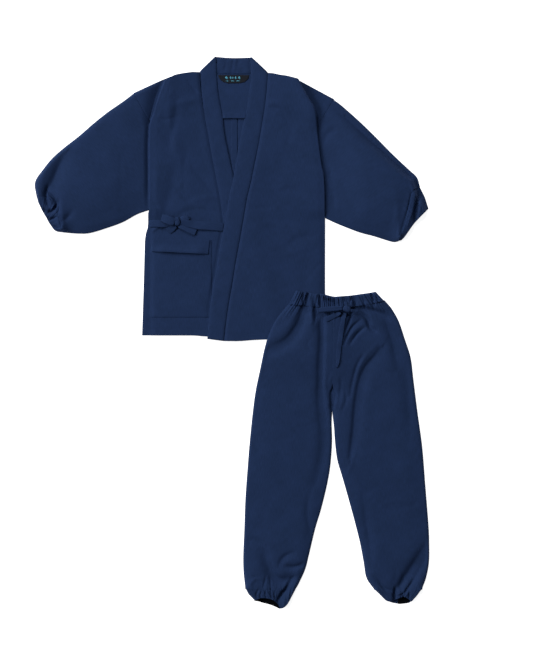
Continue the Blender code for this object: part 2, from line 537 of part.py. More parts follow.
def collar(cloth):
    """The band, in one piece from hem to hem: up one front, folded round behind the neck and down the other."""
    down = np.linspace(1, 0, 27)
    seam = beside(along(smooth_line(COLLAR_SEAM_RIGHT), down), -SEAM)
    free = along(smooth_line(COLLAR_FREE_RIGHT), down)
    seam_left = beside(along(smooth_line(COLLAR_SEAM_LEFT), down[::-1]), -SEAM)
    free_left = along(smooth_line(COLLAR_FREE_LEFT), down[::-1])
    back = np.linspace(0, 1, 9)
    neck = beside(along(smooth_line(NECK_SEAM), back), SEAM)
    rim = along(smooth_line(NECK_TOP), back)
    climb = (PILE_UNDER_LAP - 2) * LAYER * ease((0.61 - seam_left[:, 1]) / 0.11)
    lifted = 2 * LAYER
    rows = [
        (seam, free, np.full(len(seam), lifted + BAND), np.full(len(seam), lifted)),
        (neck, rim, np.zeros(len(neck)), np.full(len(neck), BAND)),
        (seam_left, free_left, lifted + climb + BAND, lifted + climb),
    ]
    outer, inner = [], []
    for start, end, face, lining in rows:
        grid = np.stack([start, 0.5 * (start + end), end], axis=1)
        outer.append(stand(grid, face[:, None]))
        inner.append(stand(grid, lining[:, None]))
    turn_right = np.stack([outer[0][-1], outer[1][0]]).mean(axis=0)
    turn_left = np.stack([outer[1][-1], outer[2][0]]).mean(axis=0)
    for place, turn, aim in ((1, turn_right, (-0.70, 0.71, 0)), (3, turn_left, (0.70, 0.71, 0))):
        out, fold = turn.copy(), turn.copy()
        out += np.array(aim) * 0.0026
        fold += np.array(aim) * 0.0002
        out[:, 2] = fold[:, 2] = (lifted + BAND) / 2
        outer.insert(place, out[None])
        inner.insert(place, fold[None])
    return wall("collar", np.vstack(outer), np.vstack(inner), cloth, JACKET_AT)


def back_half(name, side, cloth):
    """Half of the back, from the centre seam to the armhole and the vent."""
    if side < 0:
        shoulder, point, tip, hole, vent = SHOULDER_RIGHT, POINT_RIGHT, TIP_RIGHT, ARMHOLE_RIGHT, VENT_RIGHT
        neck = along(smooth_line(NECK_SEAM), np.linspace(0, 0.5, 5))
    else:
        shoulder, point, tip, hole, vent = SHOULDER_LEFT, POINT_LEFT, TIP_LEFT, ARMHOLE_LEFT, VENT_LEFT
        neck = along(smooth_line(NECK_SEAM), np.linspace(1, 0.6, 5))
    centre = CENTRE_BACK + side * SEAM / 2
    hem = 0.0125 if side < 0 else 0.0060
    armhole = beside(along((point, *hole), (0, *SLEEVE_BACK)), -side * SEAM)
    outline = [(centre, hem)] + list(vent[::-1]) + armhole[::-1].tolist()
    outline += [tuple(spot) for spot in shoulder[:-1]] + (neck - (0, SEAM)).tolist()
    outline = [spot for spot in outline if side * (spot[0] - centre) >= 0]
    outline.append((centre, JACKET_LENGTH - SEAM))
    return flat(name, outline, 0.0, CLOTH, cloth, JACKET_AT)


def jacket(navy, deep, black):
    back_half("jacket_back_right", -1, navy)
    back_half("jacket_back_left", 1, navy)
    neck = along(smooth_line(NECK_SEAM), np.linspace(0.03, 0.97, 9)) - (0, SEAM)
    low = JACKET_LENGTH - YOKE_DEPTH
    yoke = [(-0.225, low), (0.218, low), (0.200, 0.700), (0.178, 0.738), (0.131, 0.750)] + neck[::-1].tolist()
    yoke += [(-0.120, 0.759), (-0.180, 0.746), (-0.203, 0.736), (-0.215, 0.700)]
    flat("jacket_yoke_lining", yoke, LAYER, CLOTH, deep, JACKET_AT)
    flat("neck_label", LABEL, 2 * LAYER, 0.0010, black, JACKET_AT)
    seam_right, seam_left = smooth_line(COLLAR_SEAM_RIGHT), smooth_line(COLLAR_SEAM_LEFT)
    jacket_front("jacket_front_right", SIDE_RIGHT, FOLD_RIGHT, seam_right, SHOULDER_RIGHT, HEM_RIGHT,
                 beside((POINT_RIGHT, TIP_RIGHT), SEAM), on_floor, FOLDS_FRONT_RIGHT, navy)
    jacket_front("jacket_front_left", SIDE_LEFT, FOLD_LEFT, seam_left, SHOULDER_LEFT, HEM_LEFT,
                 beside((POINT_LEFT, TIP_LEFT), -SEAM), collar_lift, FOLDS_FRONT_LEFT, navy)
    collar(deep)
    sleeve(-1,
           (smooth_line(SLEEVE_TOP_RIGHT), smooth_line(SLEEVE_FOOT_RIGHT),
            np.vstack([[POINT_RIGHT], ARMHOLE_RIGHT]), smooth_line(CUFF_SEAM_RIGHT)),
           (((-0.556, 0.390), CUFF_HEM_RIGHT[0]), ((-0.500, 0.3080), CUFF_HEM_RIGHT[-1]), CUFF_HEM_RIGHT),
           FOLDS_SLEEVE_RIGHT, 8, navy)
    sleeve(1,
           (smooth_line(SLEEVE_TOP_LEFT), smooth_line(SLEEVE_FOOT_LEFT),
            np.vstack([[POINT_LEFT], ARMHOLE_LEFT]), smooth_line(CUFF_SEAM_LEFT)),
           (((0.544, 0.407), CUFF_HEM_LEFT[0]), ((0.477, 0.284), CUFF_HEM_LEFT[-1]), CUFF_HEM_LEFT),
           FOLDS_SLEEVE_LEFT, 9, navy)
    left, right, bottom, top = POCKET
    flat("pocket", ((left, bottom), (right, bottom), (right, top), (left, top)), 3 * LAYER, CLOTH, navy, JACKET_AT)
    flat("pocket_flap", FLAP, 4 * LAYER, CLOTH, navy, JACKET_AT)


def jacket_ties(cloth):
    tie("tie_front", TIE_FRONT, pile(3), cloth, JACKET_AT, 9)
    tie("tie_side", TIE_SIDE, pile(3), cloth, JACKET_AT, 7)
    tie("bow_tail_right", TAIL_RIGHT, pile(4.6), cloth, JACKET_AT, 7)
    tie("bow_tail_left", TAIL_LEFT, pile(4.6), cloth, JACKET_AT, 6)
    loop("bow_loop_left", BOW_LOOP_LEFT, pile(6.4), 0.0052, cloth, JACKET_AT)
    loop("bow_loop_right", BOW_LOOP_RIGHT, pile(6.4), 0.0052, cloth, JACKET_AT)
    knot("bow_knot", BOW_KNOT, 6.2 * LAYER, cloth, JACKET_AT)


def on_waist(grid):
    """The bed of what lies across the waist seam: over the gathers of the casing."""
    return trousers_floor(grid) + WAIST_RISE


def up_to_knot(grid):
    """The bed of the strap: it climbs from the casing to the knot."""
    return on_waist(grid) + STRAP_CLIMB * ease((0.066 - grid[..., 0]) / 0.013)


def on_leg(grid):
    """The bed of what lies on the front of the trousers."""
    return trousers_floor(grid) + LAYER + leg_rise(grid[..., 1]) + CLOTH + 3 * SEAM


def drawstring(cloth):
    """The string comes out of the casing and is tied in a half bow, with one end long and one short."""
    loop("drawstring_loop", STRING_LOOP, on_waist, 0.0050, cloth, TROUSERS_AT)
    tie("drawstring_strap", STRING_STRAP, up_to_knot, cloth, TROUSERS_AT, 4)
    tie("drawstring_end", STRING_END, on_leg, cloth, TROUSERS_AT, 7)
    tie("drawstring_tail", STRING_TAIL, on_leg, cloth, TROUSERS_AT, 14)
    x, y = STRING_KNOT[:2]
    bed = trousers_floor(np.array([[[x - 0.012, y + 0.01]]]))[0, 0] + WAIST_RISE
    knot("drawstring_knot", STRING_KNOT, bed, cloth, TROUSERS_AT)


def leg(side, outer, inner, seam, table, cloth):
    """A trouser leg: a back panel that lies flat and a front panel that puffs up over it."""
    name = "right" if side < 0 else "left"
    share = 0.42
    down = np.concatenate([np.linspace(0, share, 14), np.linspace(share, 1, 17)[1:]])
    across = np.array((0, 0.02, 0.06, 0.13, 0.25, 0.40, 0.55, 0.69, 0.80, 0.89, 0.95, 0.98, 1.0))
    waist = smooth_line(WAIST_SEAM)
    start = 0 if side < 0 else 1
    top = along(waist, np.linspace(start, MIDDLE_FRONT, 9)) - (0, SEAM_SHAPED)
    outer, inner = smooth_line(outer), smooth_line(inner)
    top = top + np.linspace(0, 1, 9)[:, None] * (inner[0] - top[-1])
    outer = outer + np.linspace(1, 0, len(outer))[:, None] * (top[0] - outer[0])
    grid = patch(outer, inner, top, seam, across, down)
    height = grid[:, -1, 1]
    shape = crown(across, leg_rise(height) - LOOSE, 0.17, ease((height + 0.03) / 0.07))
    puff = LOOSE + np.maximum(shape + folds(grid, table) * ease(np.minimum(across, 1 - across) / 0.06), 0)
    panel(f"trousers_front_{name}", grid, trousers_floor(grid) + LAYER + puff, cloth, TROUSERS_AT)
    few = np.array((0, 0.25, 0.5, 0.75, 1.0))
    flat_grid = patch(outer, inner, top, seam, few, down)
    panel(f"trousers_back_{name}", flat_grid, trousers_floor(flat_grid), cloth, TROUSERS_AT)


def waistband(cloth):
    """The casing round the waist, drawn up into gathers by its elastic."""
    fine = np.linspace(0.012, 0.988, 85)
    steps = np.array((0.0, 0.3, 0.7, 1.0))
    low = np.linspace(0.012, 0.988, 17)

    def ruffle(grid):
        body = crown(fine, 0.0060 + 0.0015 * steps, 0.08)
        wave = gathers(fine, 21, 0.6)[None] * (0.0045 - 0.0015 * ease(steps))[:, None]
        return LOOSE + body + wave * ease(np.minimum(fine, 1 - fine) / 0.04)

    lines = (np.array(WAIST_SIDE_RIGHT), np.array(WAIST_SIDE_LEFT), smooth_line(WAIST_TOP), smooth_line(WAIST_SEAM))
    return tube("waistband", lines, steps, low, fine, trousers_floor, ruffle, cloth, TROUSERS_AT)


def ankle(name, lines, back, count, cloth):
    """The gathered casing round an ankle. Its back layer reaches past the front one, so the opening shows."""
    fine = np.linspace(0.02, 0.98, 4 * count + 1)
    steps = np.array((0.0, 0.35, 0.7, 1.0))

    def ruffle(grid):
        body = crown(fine, 0.0080 - 0.001 * steps, 0.10)
        wave = gathers(fine, count, 2.1)[None] * (0.0020 + 0.0025 * ease(steps))[:, None]
        return LOOSE + body * 0.8 + wave * ease(np.minimum(fine, 1 - fine) / 0.05)

    low = np.array((0.02, 0.25, 0.5, 0.75, 0.98))
    return tube(name, lines, steps, low, fine, on_floor, ruffle, cloth, TROUSERS_AT, back=back)


def trousers(cloth):
    leg(-1, LEG_OUTER_RIGHT, LEG_INNER_RIGHT, smooth_line(ANKLE_SEAM_RIGHT), FOLDS_LEG_RIGHT, cloth)
    leg(1, LEG_OUTER_LEFT, LEG_INNER_LEFT, smooth_line(ANKLE_SEAM_LEFT), FOLDS_LEG_LEFT, cloth)
    waistband(cloth)
    drop = (0, -SEAM)
    ankle("ankle_band_right",
          (np.array(ANKLE_OUTER_RIGHT) + drop, np.array(ANKLE_INNER_RIGHT) + drop,
           smooth_line(ANKLE_SEAM_RIGHT) + drop, smooth_line(ANKLE_HEM_RIGHT) + drop),
          smooth_line(ANKLE_BACK_RIGHT) + drop, 11, cloth)
    ankle("ankle_band_left",
          (np.array(ANKLE_OUTER_LEFT) + drop, np.array(ANKLE_INNER_LEFT) + drop,
           smooth_line(ANKLE_SEAM_LEFT) + drop, smooth_line(ANKLE_HEM_LEFT) + drop),
          smooth_line(ANKLE_BACK_LEFT) + drop, 9, cloth)


for item in list(bpy.data.objects):
    bpy.data.objects.remove(item)
bpy.context.scene.collection.children.link(bpy.data.collections.new("samue"))
navy_cotton = material("navy cotton", NAVY, 0.85)
navy_band = material("navy cotton band", NAVY_DEEP, 0.85)
black_label = material("woven black label", LABEL_BLACK, 0.6)
jacket(navy_cotton, navy_band, black_label)
jacket_ties(navy_cotton)
trousers(navy_cotton)
drawstring(navy_cotton)
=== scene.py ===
"""Looks of the samue: its cloth as thin shells with creases, gathers, seams and stitches, the bow and the
drawstring, the woven cotton they are made of, and the floor, lights and camera.

Each piece of cloth is a pair of grids of points worked out with numpy, its face and its back. A point's
place on the floor comes from the piece's four edge lines, and its height from the layers under it, how far
the piece puffs up, and its creases. The jacket is drawn from its hem below the collar, the trousers from
the crotch, both in metres, as in the part's source. Only the creases are in millimetres.
"""

import math

import bmesh
import bpy
import numpy as np
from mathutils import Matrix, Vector


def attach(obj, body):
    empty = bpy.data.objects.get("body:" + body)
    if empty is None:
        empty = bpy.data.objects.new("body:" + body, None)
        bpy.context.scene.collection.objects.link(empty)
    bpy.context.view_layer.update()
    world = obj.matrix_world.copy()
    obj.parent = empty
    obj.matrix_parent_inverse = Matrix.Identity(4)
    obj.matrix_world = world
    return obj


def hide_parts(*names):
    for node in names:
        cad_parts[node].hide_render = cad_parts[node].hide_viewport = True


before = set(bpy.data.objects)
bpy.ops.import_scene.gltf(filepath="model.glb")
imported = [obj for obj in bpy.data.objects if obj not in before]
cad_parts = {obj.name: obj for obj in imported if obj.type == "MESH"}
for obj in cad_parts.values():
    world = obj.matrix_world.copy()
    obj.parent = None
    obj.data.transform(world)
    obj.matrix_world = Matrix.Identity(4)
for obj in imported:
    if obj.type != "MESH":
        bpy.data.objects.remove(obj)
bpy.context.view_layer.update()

RIGHT, LEFT = -1, 1
SIDE_NAME = {RIGHT: "right", LEFT: "left"}
MM_PER_M = 1000

# Thickness of the cloth, the gap at a seam, a layer with its gap, the doubled band, and the share of the
# cloth's thickness that is left at its very edge.
CLOTH = 0.0012
SEAM = 0.0003
LAYER = CLOTH + SEAM
BAND = 2 * CLOTH
RIM_SHARE = 0.45

# Where the jacket's and the trousers' own origins lie, the middle of the picture, and the height it shows.
JACKET_AT = (0.0043, -0.0200)
TROUSERS_AT = (0.2836, -0.2252)
PHOTO_CENTRE = (0.1069, 0.0257)
PHOTO_HEIGHT = 1.847

# Length below the collar seam, the centre-back seam's x, the height up to which the side vents are open, and
# the yoke lining's depth.
JACKET_LENGTH = 0.757
CENTRE_BACK = 0.010
VENT_TOP = 0.335
YOKE_DEPTH = 0.126

# Shares of the waist seam at which each leg's front starts at the side, and at which the two meet.
WAIST_START = {RIGHT: 0.0, LEFT: 1.0}
MIDDLE_FRONT = 0.455

# How many layers lie under the fronts' lap, and under the trousers' corner.
PILE_UNDER_LAP = 4
PILE_UNDER_TROUSERS = 5

# Depth of a cuff's casing, and of the waist's and the ankles'. How many gathers the elastic makes at each
# end, and how far each ankle's hem arches up in its middle.
CUFF_DEPTH = 0.035
CASING_DEPTH = 0.04
CUFF_GATHERS = {RIGHT: 8, LEFT: 9}
ANKLE_GATHERS = {RIGHT: 11, LEFT: 9}
ANKLE_ARCH = {RIGHT: 0.0, LEFT: 0.0060}

# Height of the sleeve's upper layer by the shoulder and towards the wrist, and at the cuff's seam. Shares
# across that layer, closer together beside its folded edge.
ARM_HEIGHT = (0.0150, 0.0250)
SEAM_HEIGHT = 0.0200
SLEEVE_ACROSS = np.concatenate([[0.009, 0.014, 0.020, 0.028, 0.037], np.linspace(0.048, 1, 104)])

# How far the threads of the sleeves and of the legs are turned from the frame's axes, in degrees, and how far
# apart the threads are drawn.
ARM_GRAIN = -38.0
LEG_GRAIN = 4.0
THREAD_PITCH = 0.0014

# Power and place of each lamp, counted from the middle of the picture, their size, and the lens and the
# camera's sensor in millimetres.
LAMPS = (("side lamp", 850.0, (-8.70, 2.33, 6.31)), ("top lamp", 560.0, (-2.88, 7.92, 7.07)))
LAMP_SIZE = 4.5
LENS, SENSOR = 85.0, 36.0

# The wearer's right is on the left of the picture, towards -X.
SHOULDER_RIGHT = ((-0.205, 0.741), (-0.180, 0.751), (-0.154, 0.758), (-0.120, 0.764), (-0.099, 0.764))
SHOULDER_LEFT = ((0.180, 0.743), (0.154, 0.750), (0.131, 0.754), (0.114, 0.758), (0.098, 0.760))
POINT_RIGHT = (-0.286, 0.703)
POINT_LEFT = (0.285, 0.686)
TIP_RIGHT = (-0.242, 0.625)
TIP_LEFT = (0.2355, 0.605)

# The body bulges over the sleeve along these lines, from the shoulder to where the drop seam goes under.
FOLD_RIGHT = ((-0.205, 0.741), (-0.217, 0.710), (-0.229, 0.675), TIP_RIGHT)
FOLD_LEFT = ((0.180, 0.743), (0.207, 0.692), (0.228, 0.655), TIP_LEFT)
SIDE_RIGHT = (TIP_RIGHT, (-0.245, 0.564), (-0.245, 0.460), (-0.245, 0.368), (-0.242, 0.310), (-0.242, 0.170),
              (-0.242, 0.013))
SIDE_LEFT = (TIP_LEFT, (0.241, 0.562), (0.249, 0.502), (0.257, 0.456), (0.259, 0.345), (0.259, 0.134),
             (0.262, 0.006))

# The body covers the armhole seam below the tip by a few millimetres.
ARMHOLE_RIGHT = (TIP_RIGHT, (-0.2375, 0.600), (-0.2375, 0.500), (-0.2390, 0.371))
ARMHOLE_LEFT = (TIP_LEFT, (0.2330, 0.580), (0.2420, 0.502), (0.2500, 0.456), (0.2520, 0.351))
VENT_RIGHT = ((-0.245, 0.366), (-0.245, 0.336), (-0.246, 0.319), (-0.251, 0.305), (-0.254, 0.285),
              (-0.257, 0.171), (-0.262, 0.013))
VENT_LEFT = ((0.258, 0.346), (0.259, 0.134), (0.262, 0.006))

COLLAR_SEAM_RIGHT = ((-0.098, 0.762), (-0.093, 0.698), (-0.083, 0.633), (-0.073, 0.584), (-0.063, 0.527),
                     (-0.052, 0.470), (-0.040, 0.405), (-0.029, 0.331), (-0.002, 0.171), (0.025, 0.009))
COLLAR_FREE_RIGHT = ((-0.051, 0.806), (-0.048, 0.740), (-0.044, 0.698), (-0.033, 0.641), (-0.026, 0.584),
                     (-0.015, 0.530), (-0.001, 0.465), (0.009, 0.413), (0.023, 0.331), (0.050, 0.171),
                     (0.077, 0.009))
COLLAR_SEAM_LEFT = ((0.097, 0.760), (0.091, 0.690), (0.083, 0.633), (0.071, 0.564), (0.058, 0.499),
                    (0.046, 0.442), (0.037, 0.405), (0.026, 0.342), (0.016, 0.285), (0.003, 0.214),
                    (-0.006, 0.157), (-0.016, 0.100), (-0.024, 0.043), (-0.029, -0.003))
COLLAR_FREE_LEFT = ((0.047, 0.805), (0.049, 0.750), (0.043, 0.707), (0.036, 0.655), (0.023, 0.604),
                    (0.014, 0.556), (-0.001, 0.465), (-0.014, 0.405), (-0.027, 0.331), (-0.036, 0.285),
                    (-0.044, 0.239), (-0.053, 0.185), (-0.063, 0.128), (-0.071, 0.063), (-0.076, 0.003))
NECK_SEAM = ((-0.094, 0.764), (-0.050, 0.758), (0.000, JACKET_LENGTH), (0.047, JACKET_LENGTH), (0.092, 0.761))
NECK_TOP = ((-0.051, 0.807), (-0.011, 0.804), (0.020, 0.804), (0.047, 0.805))
HEM_RIGHT = ((-0.242, 0.013), (-0.125, 0.013), (-0.077, 0.010), (0.025, 0.009))
HEM_LEFT = ((0.262, 0.006), (0.080, 0.001), (0.017, -0.003), (-0.029, -0.003))

SLEEVE_TOP_RIGHT = (POINT_RIGHT, (-0.316, 0.680), (-0.359, 0.650), (-0.400, 0.617), (-0.442, 0.580),
                    (-0.485, 0.546), (-0.517, 0.517), (-0.543, 0.485), (-0.566, 0.449), (-0.5615, 0.4075))
SLEEVE_FOOT_RIGHT = ((-0.239, 0.371), (-0.276, 0.358), (-0.316, 0.336), (-0.359, 0.320), (-0.409, 0.305),
                     (-0.443, 0.303), (-0.487, 0.3065))
CUFF_SEAM_RIGHT = ((-0.5615, 0.4075), (-0.526, 0.402), (-0.505, 0.376), (-0.497, 0.342), (-0.487, 0.3065))
CUFF_HEM_RIGHT = ((-0.5486, 0.375), (-0.535, 0.351), (-0.523, 0.330), (-0.510, 0.312))

SLEEVE_TOP_LEFT = (POINT_LEFT, (0.310, 0.667), (0.359, 0.623), (0.405, 0.578), (0.450, 0.532), (0.496, 0.488),
                   (0.521, 0.464), (0.530, 0.436))
SLEEVE_FOOT_LEFT = ((0.252, 0.351), (0.283, 0.336), (0.314, 0.323), (0.359, 0.306), (0.397, 0.296),
                    (0.435, 0.284), (0.455, 0.279), (0.468, 0.281))
CUFF_SEAM_LEFT = ((0.530, 0.436), (0.507, 0.422), (0.496, 0.379), (0.487, 0.336), (0.468, 0.281))
CUFF_HEM_LEFT = ((0.554, 0.374), (0.527, 0.347), (0.507, 0.324), (0.486, 0.293))

# The middle of each cuff's upper and lower side, between its seam and its hem.
CUFF_MIDDLES_RIGHT = ((-0.556, 0.390), (-0.500, 0.308))
CUFF_MIDDLES_LEFT = ((0.544, 0.407), (0.477, 0.284))

# The centre-back fell's left, right, lower and upper edges, and the yoke lining's sides and the two ends of
# its top edge.
FELL = (-0.0080, 0.0105, 0.020, 0.641)
YOKE_SIDE_RIGHT = ((-0.203, 0.736), (-0.215, 0.700))
YOKE_SIDE_LEFT = ((0.178, 0.738), (0.200, 0.700))
YOKE_TOP_RIGHT = ((-0.203, 0.736), (-0.180, 0.746), (-0.120, 0.759))
YOKE_TOP_LEFT = ((0.131, 0.750), (0.178, 0.738))

# The label's outline from its upper left corner round by the right, the pocket's left, right, lower and upper
# edges, and the flap's corners in the label's order.
LABEL = ((-0.0455, 0.7545), (0.0435, 0.7545), (0.0405, 0.744), (0.030, 0.735), (0.016, 0.7315),
         (-0.016, 0.7315), (-0.030, 0.735), (-0.0415, 0.744))
POCKET = (-0.2375, -0.0630, 0.0640, 0.2850)
FLAP = ((-0.2370, 0.2852), (-0.0685, 0.2852), (-0.0730, 0.2440), (-0.2345, 0.2520))

WAIST_TOP = ((-0.103, 0.347), (-0.082, 0.344), (-0.054, 0.339), (-0.027, 0.336), (0.004, 0.329),
             (0.023, 0.330), (0.050, 0.332), (0.073, 0.335), (0.108, 0.340), (0.124, 0.343))
WAIST_SEAM = ((-0.124, 0.306), (-0.091, 0.304), (-0.034, 0.298), (0.023, 0.296), (0.066, 0.301),
              (0.108, 0.307), (0.149, 0.317))
WAIST_SIDE_RIGHT = ((-0.103, 0.347), (-0.114, 0.325), (-0.124, 0.306))
WAIST_SIDE_LEFT = ((0.124, 0.343), (0.138, 0.328), (0.149, 0.317))
LEG_OUTER_RIGHT = ((-0.124, 0.306), (-0.151, 0.274), (-0.167, 0.249), (-0.182, 0.214), (-0.193, 0.177),
                   (-0.205, 0.120), (-0.217, 0.063), (-0.225, 0.006), (-0.234, -0.080), (-0.241, -0.165),
                   (-0.247, -0.251), (-0.250, -0.336), (-0.253, -0.408), (-0.252, -0.456), (-0.247, -0.502))
LEG_OUTER_LEFT = ((0.149, 0.317), (0.162, 0.303), (0.175, 0.285), (0.191, 0.255), (0.208, 0.205),
                  (0.224, 0.154), (0.232, 0.091), (0.243, 0.003), (0.257, -0.100), (0.266, -0.211),
                  (0.275, -0.325), (0.277, -0.382), (0.276, -0.430), (0.268, -0.472), (0.256, -0.504))

# The legs' inner edges below the crotch.
LEG_INNER_RIGHT = ((-0.001, -0.035), (0.000, -0.088), (-0.005, -0.154), (-0.015, -0.211), (-0.031, -0.276),
                   (-0.048, -0.333), (-0.066, -0.408), (-0.076, -0.447), (-0.093, -0.485), (-0.101, -0.500))
LEG_INNER_LEFT = ((0.006, -0.048), (0.009, -0.092), (0.015, -0.137), (0.027, -0.178), (0.039, -0.219),
                  (0.056, -0.280), (0.068, -0.325), (0.080, -0.374), (0.090, -0.427), (0.098, -0.472),
                  (0.120, -0.505))
ANKLE_SEAM_RIGHT = ((-0.247, -0.502), (-0.200, -0.506), (-0.150, -0.503), (-0.101, -0.500))
ANKLE_SEAM_LEFT = ((0.256, -0.504), (0.210, -0.513), (0.165, -0.512), (0.120, -0.505))
ANKLE_OUTER_RIGHT = ((-0.247, -0.502), (-0.238, -0.519), (-0.221, -0.536))
ANKLE_INNER_RIGHT = ((-0.101, -0.500), (-0.109, -0.515), (-0.117, -0.530))
ANKLE_OUTER_LEFT = ((0.256, -0.504), (0.241, -0.524), (0.226, -0.540))
ANKLE_INNER_LEFT = ((0.120, -0.505), (0.133, -0.517), (0.153, -0.537))
ANKLE_HEM_RIGHT = ((-0.221, -0.536), (-0.200, -0.529), (-0.177, -0.532), (-0.157, -0.540), (-0.147, -0.558),
                   (-0.131, -0.551), (-0.117, -0.530))
ANKLE_BACK_RIGHT = ((-0.221, -0.537), (-0.196, -0.545), (-0.177, -0.549), (-0.160, -0.556), (-0.148, -0.562),
                    (-0.131, -0.553), (-0.117, -0.531))
ANKLE_HEM_LEFT = ((0.226, -0.540), (0.216, -0.534), (0.202, -0.531), (0.185, -0.533), (0.170, -0.539),
                  (0.153, -0.537))
ANKLE_BACK_LEFT = ((0.226, -0.541), (0.217, -0.546), (0.198, -0.548), (0.182, -0.547), (0.168, -0.544),
                   (0.153, -0.538))

# A strap: x and y of its middle line, its width there, and its tilt about its own length in degrees.
TIE_FRONT = ((-0.0287, 0.3203, 0.0228, 0), (-0.045, 0.3220, 0.0230, 2), (-0.070, 0.3242, 0.0235, -3),
             (-0.100, 0.3262, 0.0235, 3), (-0.125, 0.3300, 0.021, -8), (-0.149, 0.3340, 0.018, -20))
TIE_SIDE = ((-0.2405, 0.3315, 0.020, 0), (-0.222, 0.3315, 0.020, 3), (-0.200, 0.3300, 0.020, -3),
            (-0.183, 0.3320, 0.017, 10), (-0.170, 0.3340, 0.014, 25))
TAIL_RIGHT = ((-0.1560, 0.3270, 0.016, -10), (-0.1400, 0.3222, 0.021, -14), (-0.1240, 0.3155, 0.024, -14),
              (-0.1070, 0.3085, 0.0245, -10))
TAIL_LEFT = ((-0.1690, 0.3275, 0.020, 0), (-0.1770, 0.3200, 0.024, -4), (-0.1890, 0.3098, 0.0245, -6))
STRING_STRAP = ((0.0524, 0.2890, 0.008, 0), (0.0620, 0.2885, 0.008, 10), (0.0715, 0.2880, 0.007, 0))
STRING_END = ((0.0235, 0.2835, 0.009, 25), (0.0140, 0.2785, 0.012, 10), (0.0000, 0.2715, 0.014, -6),
              (-0.0190, 0.2635, 0.015, 0))
STRING_TAIL = ((0.0365, 0.2830, 0.011, 20), (0.0310, 0.2650, 0.013, 8), (0.0270, 0.2400, 0.014, -4),
               (0.0235, 0.2150, 0.014, 5), (0.0200, 0.1900, 0.014, -6), (0.0175, 0.1650, 0.013, 4),
               (0.0160, 0.1450, 0.011, 10), (0.0130, 0.1280, 0.006, 0))

# A loop: x, y and width of the strap from its knot to its turn.
BOW_LOOP_LEFT = ((-0.1680, 0.3345, 0.021), (-0.1790, 0.3390, 0.025), (-0.1910, 0.3445, 0.025),
                 (-0.2010, 0.3485, 0.021))
BOW_LOOP_RIGHT = ((-0.1510, 0.3385, 0.020), (-0.1430, 0.3415, 0.024), (-0.1350, 0.3425, 0.023),
                  (-0.1298, 0.3412, 0.018))
STRING_LOOP = ((0.0290, 0.2960, 0.011), (0.0120, 0.2940, 0.014), (-0.0100, 0.2915, 0.015),
               (-0.0270, 0.2900, 0.015), (-0.0350, 0.2890, 0.013))

# The bow's tails with the heights of their two ends, and its loops with the height of what each lies on, how
# high it stands and how far its upper layer leans.
BOW_TAILS = (("bow_tail_right", TAIL_RIGHT, 0.0100, 0.0086), ("bow_tail_left", TAIL_LEFT, 0.0100, 0.0066))
BOW_LOOPS = (("bow_loop_left", BOW_LOOP_LEFT, 0.0116, 0.0064, 0.0016),
             ("bow_loop_right", BOW_LOOP_RIGHT, 0.0090, 0.0038, -0.0022))

# A knot: its place, its size, its turn in degrees, and the place, depth and width of each wrap's edge, as
# shares of its size. The string's knot counts its height from the waist seam.
BOW_KNOT = ((-0.1615, 0.3375, 0.0125), (0.0165, 0.0265, 0.0080), 8,
            ((-0.52, 0.20, 0.09), (0.48, 0.16, 0.08), (0.02, 0.10, 0.07)))
STRING_KNOT = ((0.0410, 0.2935, 0.00375), (0.0215, 0.0170, 0.0085), -20,
               ((-0.50, 0.20, 0.10), (0.42, 0.18, 0.08), (0.0, 0.10, 0.06)))

# The label's woven rows: x, width, y and height of each block.
LABEL_BLOCKS = ((-0.0262, 0.0100, 0.7418, 0.0096), (-0.0120, 0.0055, 0.7418, 0.0096),
                (-0.0048, 0.0040, 0.7418, 0.0090), (0.0020, 0.0065, 0.7418, 0.0096),
                (0.0118, 0.0075, 0.7418, 0.0096), (-0.0235, 0.0110, 0.7365, 0.0026),
                (-0.0095, 0.0120, 0.7365, 0.0026), (0.0055, 0.0130, 0.7365, 0.0026))

# The wrinkles of the collar at the back of the neck: x and depth of each.
NECK_WRINKLES = ((-0.0257, 0.0011), (-0.0057, 0.0016), (0.0086, 0.0013))

# The inner edges of the legs above the crotch: the front panels part there, and the back ones stay closed.
FRONT_INNER_RIGHT = ((0.0012, 0.2952), (0.0012, 0.200), (0.0012, 0.110), (0.0008, 0.078), (-0.0030, 0.060),
                     (-0.0050, 0.048), (-0.0032, 0.028), (-0.0034, 0.012), (-0.0018, 0.000))
FRONT_INNER_LEFT = ((-0.0004, 0.2952), (-0.0004, 0.200), (-0.0004, 0.110), (0.0008, 0.080), (0.0060, 0.060),
                    (0.0095, 0.048), (0.0057, 0.028), (0.0043, 0.012), (0.0048, 0.000))
BACK_INNER = ((0.0006, 0.2952), (0.0006, 0.200), (0.0006, 0.100), (0.0006, 0.030), (0.0006, 0.004),
              (0.0006, 0.0015))

# What shows of the inside of each ankle's casing, where a strip of painted shade lies: the front hem's line,
# and the back hem's line.
OPENING_RIGHT = (((-0.2215, -0.5345), (-0.2100, -0.5325), (-0.1990, -0.5280), (-0.1820, -0.5280),
                  (-0.1730, -0.5330), (-0.1600, -0.5420), (-0.1500, -0.5540)),
                 ((-0.2215, -0.5375), (-0.2080, -0.5400), (-0.1990, -0.5430), (-0.1850, -0.5465),
                  (-0.1730, -0.5500), (-0.1600, -0.5555), (-0.1500, -0.5605)))
OPENING_LEFT = (((0.1880, -0.5300), (0.1940, -0.5275), (0.2020, -0.5265), (0.2140, -0.5275),
                 (0.2225, -0.5320)),
                ((0.1870, -0.5465), (0.1940, -0.5468), (0.2020, -0.5460), (0.2140, -0.5435),
                 (0.2225, -0.5370)))

